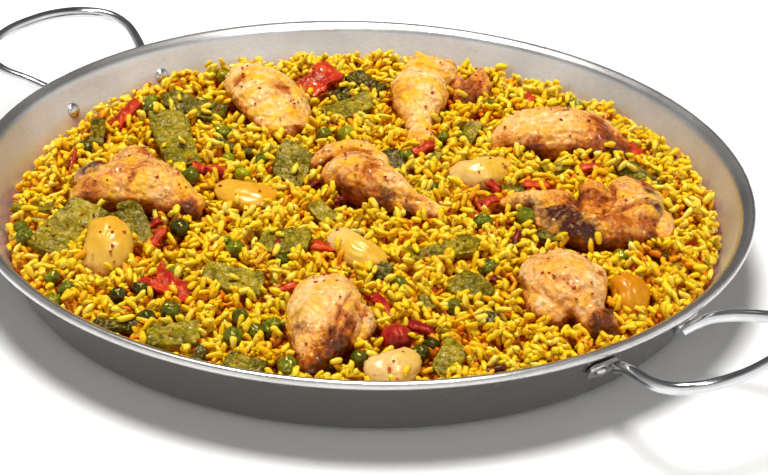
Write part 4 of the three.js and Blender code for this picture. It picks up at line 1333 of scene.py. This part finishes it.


# ---- The peas ----
# About fifty garden peas, cooked whole: round, a little flattened, bright to dark green with a ridged scar.
# Some have a wrinkled skin and some have split.
cad_peas = [  # x, y, height of the middle, across
    (-166, -45, 25, 10.5),
    (-88, -117, 26.5, 11),
    (-61, -53, 26.5, 11),
    (-57, -138, 26, 10.5),
    (36, 22, 26.5, 10),
    (84, -11, 29, 11),
    (64, -63, 27, 11),
]
small_peas = [  # x, y, height of the middle, across, darkness
    (-117, 113, 25.5, 8.5, 0.3), (-116, 102, 26.5, 10, 0.5), (-76, 78, 26, 10, 0.3),
    (-147, 58, 24.5, 9, 0.8), (-89, 21, 28, 11, 0.6), (-22, 78, 27, 10, 0.5), (-10, 80, 26.5, 10, 0.2),
    (-52, 48, 26, 10, 0.5), (-71, 50, 24, 8, 0.3), (-62, 29, 26, 10, 0.0), (-80, 148, 26, 9, 0.1),
    (-90, -33, 26.5, 11, 1.0), (-129, -24, 25.5, 9, 0.8), (66, 120, 26, 10, 0.5), (114, 126, 25.5, 10, 0.3),
    (108, 121, 25, 9, 0.4), (23, 58, 26, 8.5, 0.4), (42, 84, 25.5, 7, 0.4), (62, -15, 27, 11, 0.5),
    (-148, -86, 25, 8.5, 0.4), (-140, -97, 25.5, 9, 0.5), (-145, -106, 24, 8, 0.3),
    (-115, -103, 26, 10.5, 1.0), (-104, -96, 26.5, 9.5, 1.0), (-89, -77, 26, 8.5, 0.1),
    (-99, -124, 26, 10, 0.9), (-37, -62, 26, 10, 0.7), (-54, -119, 26, 10, 0.6), (-47, -130, 24.5, 9, 0.5),
    (-39, -128, 26, 11, 0.4), (-30, -162, 25, 11, 0.4), (3, -152, 25, 9, 0.7), (-67, -42, 24.5, 8, 0.3),
    (20, -81, 26, 9.5, 0.5), (47, -101, 26, 9, 0.5), (130, -44, 25, 9, 0.3), (31, -146, 25.5, 10, 0.8),
    (44, -130, 24.5, 8, 0.6), (37, -136, 24.5, 8.5, 1.0), (-170, -33, 24, 7.5, 0.4), (55, 95, 25, 7.5, 0.4),
    (-12, -155, 24, 8, 0.5),
]


def pea_shape(seed, rings=20, sides=28):
    """A pea of unit radius: flattened, dimpled or wrinkled by its seed, and ridged where it was attached."""
    points, faces = ball(rings, sides)
    wrinkled = (0.06, 0.26, 0.12, 0.2)[seed % 4]
    ridge = np.exp(-((points[:, 1] / 0.06) ** 2)) * (points[:, 0] - 0.2).clip(0)
    dents = lumps(points, 1.1, 2, seed * 7.3)
    folds = creases(points * (1.2, 1.2, 0.45), 0.6, seed * 5.1)
    sunken = np.exp(-(((1 - points[:, 2]) / 0.22) ** 2))
    size = 1 + 0.05 * dents - wrinkled * (folds + 0.9 * sunken) + 0.06 * ridge
    return points * size[:, None] * (1, 0.96, 0.93), faces


def pea_skin():
    flesh, oil = (0.15, 0.0015, (0.8, 1.0, 0.1)), (0.3, 0.08)
    made, tree, shader, place = juicy("pea_skin", 0.6, flesh, oil, Roughness=0.2)
    fine = pocked(tree, place, 1.0)
    depth = mottled(tree, "dark", pocked(tree, place, 5.0), 0.8)
    tint = ramp(tree, depth, (0.0, "a4a210"), (0.3, "6a7402"), (0.6, "3e4802"), (1.0, "1a1e00"))
    streaked = node(tree, "ShaderNodeMapping", {"Vector": place, "Scale": (1, 1, 0.25)})
    streaks = pocked(tree, streaked, 1.7, 2.0)
    tint = flecked(tree, tint, streaks, 0.5, 0.7, 0.35, "222c04")
    give(shader, Base_Color=tint, Normal=raised(tree, fine, 0.2, 0.0005))
    return made


def model_set(name, shape, count):
    """Meshes to scatter, one for each seed of a shape made at unit size."""
    return [plain_mesh(name, points * mm, faces) for points, faces in map(shape, range(count))]


full_turn = 6.28
pea_tilt = 0.9
pea_finish = pea_skin()
for number, (x, y, z, across) in enumerate(cad_peas, 1):
    points, faces = pea_shape(number, 28, 36)
    spin = Matrix.Rotation(random.uniform(0, full_turn), 3, "Z")
    turn = spin @ Matrix.Rotation(random.uniform(-pea_tilt, pea_tilt), 3, "X")
    points = points @ np.array(turn).T * across / 2 + (x, y, z)
    toppings.append(points)
    mesh = plain_mesh("pea", in_place(points), faces)
    paint(mesh, dark=np.full(len(points), 0.35 + 0.1 * (number % 3)))
    piece = link_piece(f"garden_pea_{number}", mesh, pea_finish)
    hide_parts(f"pea_{number}")

small_peas = np.array(small_peas)
turns = random.uniform((-pea_tilt, -pea_tilt, 0), (pea_tilt, pea_tilt, full_turn), (len(small_peas), 3))
sizes = np.repeat(small_peas[:, 3:4], 3, axis=1) / 2
tones_and_shade = {"dark": 0.85 * small_peas[:, 4]}
pea_models = model_set("pea_model", pea_shape, 4)
spots = in_place(small_peas[:, :3])
mesh = set_out("small_peas", spots, turns, sizes, pea_models, tones_and_shade, pea_finish)
toppings.append(vertex_array(mesh) @ np.array(diner_frame) / mm)
piece = link_piece("garden_peas", mesh)


# ---- The rice ----
# Short plump grains, gold with saffron and oil, heaped over the whole pan. A core fills the bottom, and loose
# grains are dropped on it one by one, each settling on what already lies there.
rice_edge = 19.5  # heights of the rice at the wall and further in, mm
rice_level = 23.5
dip_angle, swell_angle = math.radians(171), math.radians(60)  # where the rice lies lowest and highest
core_depth = 8.2  # of the core's top below the level of the rice
mound_height, mound_size = 2.2, 15
grain_count = 17500  # thrown, of which about three quarters find room
grain_length, grain_width = 6.9, 3.25
length_spread, width_spread = 0.19, 0.1
thickness_share, thickness_spread = 0.94, 0.05  # of the width
pitch_wobble, roll_wobble = 0.26, 0.6
grain_reach = 186  # from the middle of the pan
places_tried = 2
stray_share = 0.03  # of the grains thrown on a topping stay there
highest_pile = 6.0
free_start = 100  # grains that fall before the limit on the pile holds
steepest_pitch = 0.9
seat = 66  # per cent of the spots under a grain that are lower than where it rests
burial = 0.6  # a topping covers the rice where it stands out by more than this
bed_gap = 0.4  # between the core and the steel
side_gap = 2.6
cell = 0.7  # of the height map, mm
no_room = 60.0
stains = [  # where red oil from the peppers and the chicken has run: x, y, radius, depth of colour
    (97, 20, 16, 0.3), (58, 14, 12, 0.25), (-104, -42, 14, 0.3), (-28, 12, 10, 0.2), (121, 42, 10, 0.25),
    (-16, -62, 14, 0.2), (-80, -100, 14, 0.2), (-2, -112, 12, 0.25), (70, -70, 10, 0.2), (44, -140, 14, 0.25),
    (150, -44, 14, 0.25), (-140, 84, 16, 0.25), (-36, 150, 12, 0.2), (30, 80, 12, 0.2), (-78, 20, 12, 0.15),
    (112, -130, 12, 0.2), (-36, -148, 10, 0.2), (60, 112, 14, 0.2),
]


def edge_swell(around):
    """How much the rice rises or dips in a direction from the middle."""
    dip = np.abs(np.arctan2(np.sin(around - dip_angle), np.cos(around - dip_angle)))
    return 2.6 * np.cos(around - swell_angle) - 4.5 * np.exp(-((dip / math.radians(28)) ** 2))


def rice_height(x, y):
    """The mean height of the rice at a place, and the wall's radius in that direction, mm."""
    around, out = np.arctan2(y, x), np.hypot(x, y)
    wave = np.sin(x / 17 + 1) * np.cos(y / 21 - 0.6) + 0.6 * np.sin((x + y) / 9.5)
    inner = rice_level + 0.8 * wave + edge_swell(around) * (out / rim_radius) ** 2
    edge = rice_edge + edge_swell(around)
    wall = inner_wall(edge)
    blend = ((out - wall + 12) / 12).clip(0, 1)
    return inner * (1 - blend) + edge * blend, wall


def rice_core():
    """The heap under the loose grains: its top follows the rice, its side and underside follow the pan."""
    rings, sides = 60, 160
    around = np.arange(sides) * 2 * np.pi / sides
    wall = rice_height(np.cos(around) * 180, np.sin(around) * 180)[1]
    points, faces = [], []
    for i in range(1, rings + 1):
        out = (wall - side_gap) * (i / rings)
        x, y = out * np.cos(around), out * np.sin(around)
        z = rice_height(x, y)[0] - core_depth
        points += list(zip(x, y, z))
    low = sheet + bed_gap
    for radius, height in ((base_radius + 2.0, low + 2.2), (base_radius - 1.0, low)):
        points += [(radius * np.cos(a), radius * np.sin(a), height) for a in around]
    points += [(0, 0, rice_height(np.array(0.0), np.array(0.0))[0] - core_depth), (0, 0, low)]
    last = len(points) - 1
    bottom = (rings + 1) * sides
    for k in range(sides):
        n = (k + 1) % sides
        faces.append((last - 1, k, n))
        faces.append((last, bottom + n, bottom + k))
        for row in range(0, bottom, sides):
            faces.append((row + k, row + sides + k, row + sides + n, row + n))
    points = np.array(points, float)
    ripple = 0.9 * lumps(points, 4.5, 2)
    points[: rings * sides, 2] += ripple[: rings * sides]
    return points, faces


def saffron_rice(name, relief_size):
    """Cooked rice: gold with a pale heart, shiny with oil, and letting light through."""
    flesh, oil = (0.7, 0.0018, (1.0, 0.9, 0.4)), (0.6, 0.06)
    made, tree, shader, place = juicy(name, 0.35, flesh, oil, Coat_IOR=1.45)
    wide = pocked(tree, place, 26.0)
    soft = pocked(tree, place, 3.6, 2.0)
    fine = pocked(tree, place, relief_size)
    uneven = math_node(tree, "MULTIPLY_ADD", wide, 0.7, math_node(tree, "MULTIPLY_ADD", soft, 0.5, -0.6))
    tone = math_node(tree, "ADD", attribute(tree, "tone"), uneven)
    colours = ((0.0, "b43c00"), (0.2, "de7c00"), (0.4, "eeb002"), (0.66, "f0cc0e"), (1.0, "f4e068"))
    give(
        shader,
        Base_Color=ramp(tree, tone, *colours),
        Roughness=stretched(tree, fine, 0.0, 1.0, 0.22, 0.45),
        Normal=raised(tree, fine, 0.35, 0.0008),
        Coat_Normal=raised(tree, fine, 0.3, 0.0008),
    )
    return made


def cell_of(x):
    """The number of the height map's row or column at a place."""
    return int((x + rim_radius) / cell)


def cells_of(values):
    return ((values + rim_radius) / cell).astype(int)


def height_map():
    """The height of the core, of the toppings and of the level of the rice, on a grid of cells."""
    side = int(2 * rim_radius / cell)
    xs = (np.arange(side) + 0.5) * cell - rim_radius
    x, y = np.meshgrid(xs, xs, indexing="ij")
    level = rice_height(x, y)[0]
    wall_clearance = 2.1
    from_foot = np.hypot(x, y) + wall_clearance + sheet / math.cos(wall_slant) - wall_start_radius
    on_steel = wall_start_height + from_foot / math.tan(wall_slant)
    step = 4  # the soft mounds are worked out on every fourth cell
    few_x, few_y = x[::step, ::step], y[::step, ::step]
    coarse = np.column_stack([few_x.ravel(), few_y.ravel(), 0 * few_x.ravel()])
    mounds = lumps(coarse, mound_size, 2).reshape(few_x.shape)
    level = level + mound_height * mounds.repeat(step, axis=0).repeat(step, axis=1)[:side, :side]
    floor = np.maximum(level - core_depth, on_steel)
    floor[on_steel > level + 1.5] = no_room
    held = np.full(floor.shape, -100.0)
    for points in toppings:
        i, j = cells_of(points[:, 0]).clip(1, side - 2), cells_of(points[:, 1]).clip(1, side - 2)
        for di in (-1, 0, 1):
            for dj in (-1, 0, 1):
                np.maximum.at(held, (i + di, j + dj), points[:, 2])
    return floor, held, level


def drop_grains():
    """Drops grains one by one: each takes the lower of two places and lies on what is under it."""
    floor, held, level = height_map()
    tall = np.maximum(floor, held)
    covered = held > level + burial
    side = len(floor)
    places, turns, sizes = [], [], []
    for number in range(grain_count):
        best = None
        for attempt in range(places_tried):
            out = grain_reach * math.sqrt(random.uniform())
            angle = random.uniform(0, 2 * math.pi)
            x, y = out * math.cos(angle), out * math.sin(angle)
            i, j = cell_of(x), cell_of(y)
            if tall[i, j] >= no_room or (covered[i, j] and random.uniform() > stray_share):
                continue
            pile = tall[i, j] - level[i, j]
            if best is None or pile < best[0]:
                best = (pile, x, y)
        if best is None or best[0] > highest_pile and number > free_start:
            continue
        _, x, y = best
        long = grain_length * random.normal(1, length_spread)
        wide = grain_width * random.normal(1, width_spread)
        yaw = random.uniform(0, math.pi)
        along, across = (math.cos(yaw), math.sin(yaw)), (-math.sin(yaw), math.cos(yaw))
        reach = int(long / 2 / cell) + 1
        i, j = cell_of(x), cell_of(y)
        if not (reach < i < side - reach - 1 and reach < j < side - reach - 1):
            continue
        under = tall[i - reach : i + reach + 1, j - reach : j + reach + 1]
        offsets = np.arange(-reach, reach + 1) * cell
        du, dv = np.meshgrid(offsets, offsets, indexing="ij")
        u = (du * along[0] + dv * along[1]) / (long / 2)
        v = (du * across[0] + dv * across[1]) / (wide / 2)
        inside = u * u + v * v < 1
        rounded = np.sqrt((1 - u * u - v * v).clip(0))
        spine = inside & (np.abs(v) < 0.7)
        near, ends = under[spine], u[spine]
        if near.max() >= no_room:
            continue
        ahead, behind = near[ends > 0.35].mean(), near[ends < -0.35].mean()
        pitch = math.atan2(ahead - behind, 0.62 * long) + random.normal(0, pitch_wobble)
        pitch = max(-steepest_pitch, min(steepest_pitch, pitch))
        plane = math.tan(pitch) * u * long / 2
        clearance = (under - plane + rounded * wide / 2 * 0.9)[inside]
        middle = min(np.percentile(clearance, seat), tall[i, j] + wide * 0.9)
        top = middle + plane + rounded * wide / 2
        under[inside] = np.maximum(under, top)[inside]
        places.append((x, y, middle))
        turns.append((random.uniform(-roll_wobble, roll_wobble), -pitch, yaw + diner_turn))
        sizes.append((long, wide, wide * random.normal(thickness_share, thickness_spread)))
    return np.array(places), np.array(turns), np.array(sizes), level, tall


def grain_tones_and_shade(places, level, tall):
    """Painted shade: pale on top of the rice, darker down between the grains; and red where oil has run."""
    row, column = cells_of(places[:, :2]).T
    apart = 5  # cells between the heights that are compared with a grain's
    shifts = ((0, 0), (apart, 0), (-apart, 0), (0, apart), (0, -apart))
    around = [np.minimum(np.roll(tall, shift, (0, 1)), level + 8) for shift in shifts]
    surface = np.mean([heights[row, column] for heights in around], axis=0)
    # painted light and shade: a grain lower than the rice around it gets a darker tone, a higher one a paler
    # tone
    depth = (places[:, 2] + grain_width / 2 - surface).clip(-3.5, 1.4)
    return 0.52 + 0.11 * depth + random.normal(0, 0.1, len(places)) - blobs(places, stains)


def grain_shape(seed):
    """A grain along x of unit length and width, a few dozen faces: blunt, bent, dented or chipped."""
    points, faces = ball(6, 6)
    points = points[:, [2, 0, 1]] / 2
    curve, taper, chip = [(0.05, 0.2, 0.5), (0.3, 0.0, 0.5), (-0.15, 0.3, 0.4), (0.15, -0.2, 0.44)][seed % 4]
    thick = np.hypot(points[:, 1], points[:, 2]) * 2
    blunt = thick.clip(0.1) ** -0.26
    points[:, 1:] *= ((1 + taper * points[:, 0]) * blunt)[:, None]
    points[:, 1] += curve * (0.25 - points[:, 0] ** 2)
    points[:, 0] = points[:, 0].clip(-0.5, chip)
    return points * (1 + 0.4 * lumps(points, 0.4, 1, seed * 3.7))[:, None], faces


core_finish = saffron_rice("rice_bed", 1.8)
grain_finish = saffron_rice("saffron_rice", 1.2)
points, faces = rice_core()
mesh = plain_mesh("core", in_place(points), faces)
# painted shade: the core gets the darkest tone, as the shade down between the grains
paint(mesh, tone=np.full(len(points), 0.12))
core = link_piece("rice_bed", mesh, core_finish)
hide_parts("rice")

grain_models = model_set("grain_model", grain_shape, 8)
places, turns, sizes, level, tall = drop_grains()
tones_and_shade = grain_tones_and_shade(places, level, tall)
portions = 5  # the grains are too many for one piece
portion = (np.arctan2(places[:, 1], places[:, 0]) / (2 * np.pi / portions)).round().astype(int) % portions
for number in range(portions):
    mine = portion == number
    spots, tone = in_place(places[mine]), {"tone": tones_and_shade[mine]}
    mesh = set_out(
        f"grains_{number + 1}", spots, turns[mine], sizes[mine], grain_models, tone, grain_finish,
    )
    piece = link_piece(f"rice_grains_{number + 1}", mesh)


# ---- The paprika flakes ----
# Crushed dried red pepper: hundreds of chips a millimetre or two wide, stuck all over the rice and the
# chicken, dark red where they are thick and orange where they are thin.
flake_count = 900
flake_width = 1.5
flake_reach = 184  # from the middle of the pan


def flake_shape(seed):
    """A curled chip of unit width with a ragged outline, closed and a third as thick as it is wide."""
    points, faces = ball(4, 7)
    ragged = 1 + 0.35 * lumps(points, 0.8, 1, seed * 4.1)
    points = points * ragged[:, None] * (0.5, 0.4, 0.14)
    points[:, 2] += 0.5 * points[:, 0] ** 2
    return points, faces


places, sizes = [], []
while len(places) < flake_count:
    out, around = flake_reach * math.sqrt(random.uniform()), random.uniform(0, 2 * math.pi)
    x, y = out * math.cos(around), out * math.sin(around)
    under = tall[cell_of(x), cell_of(y)]
    if under < no_room:
        places.append((x, y, under))
        sizes.append([flake_width * random.uniform(0.5, 1.6)] * 3)
turns = random.uniform((-0.5, -0.5, 0), (0.5, 0.5, full_turn), (flake_count, 3))
ripe = random.uniform(0.3, 0.9, flake_count)
flake_models = model_set("flake_model", flake_shape, 4)
mesh = set_out("flakes", in_place(places), turns, sizes, flake_models, {"ripe": ripe}, red_finish)
piece = link_piece("paprika_flakes", mesh)
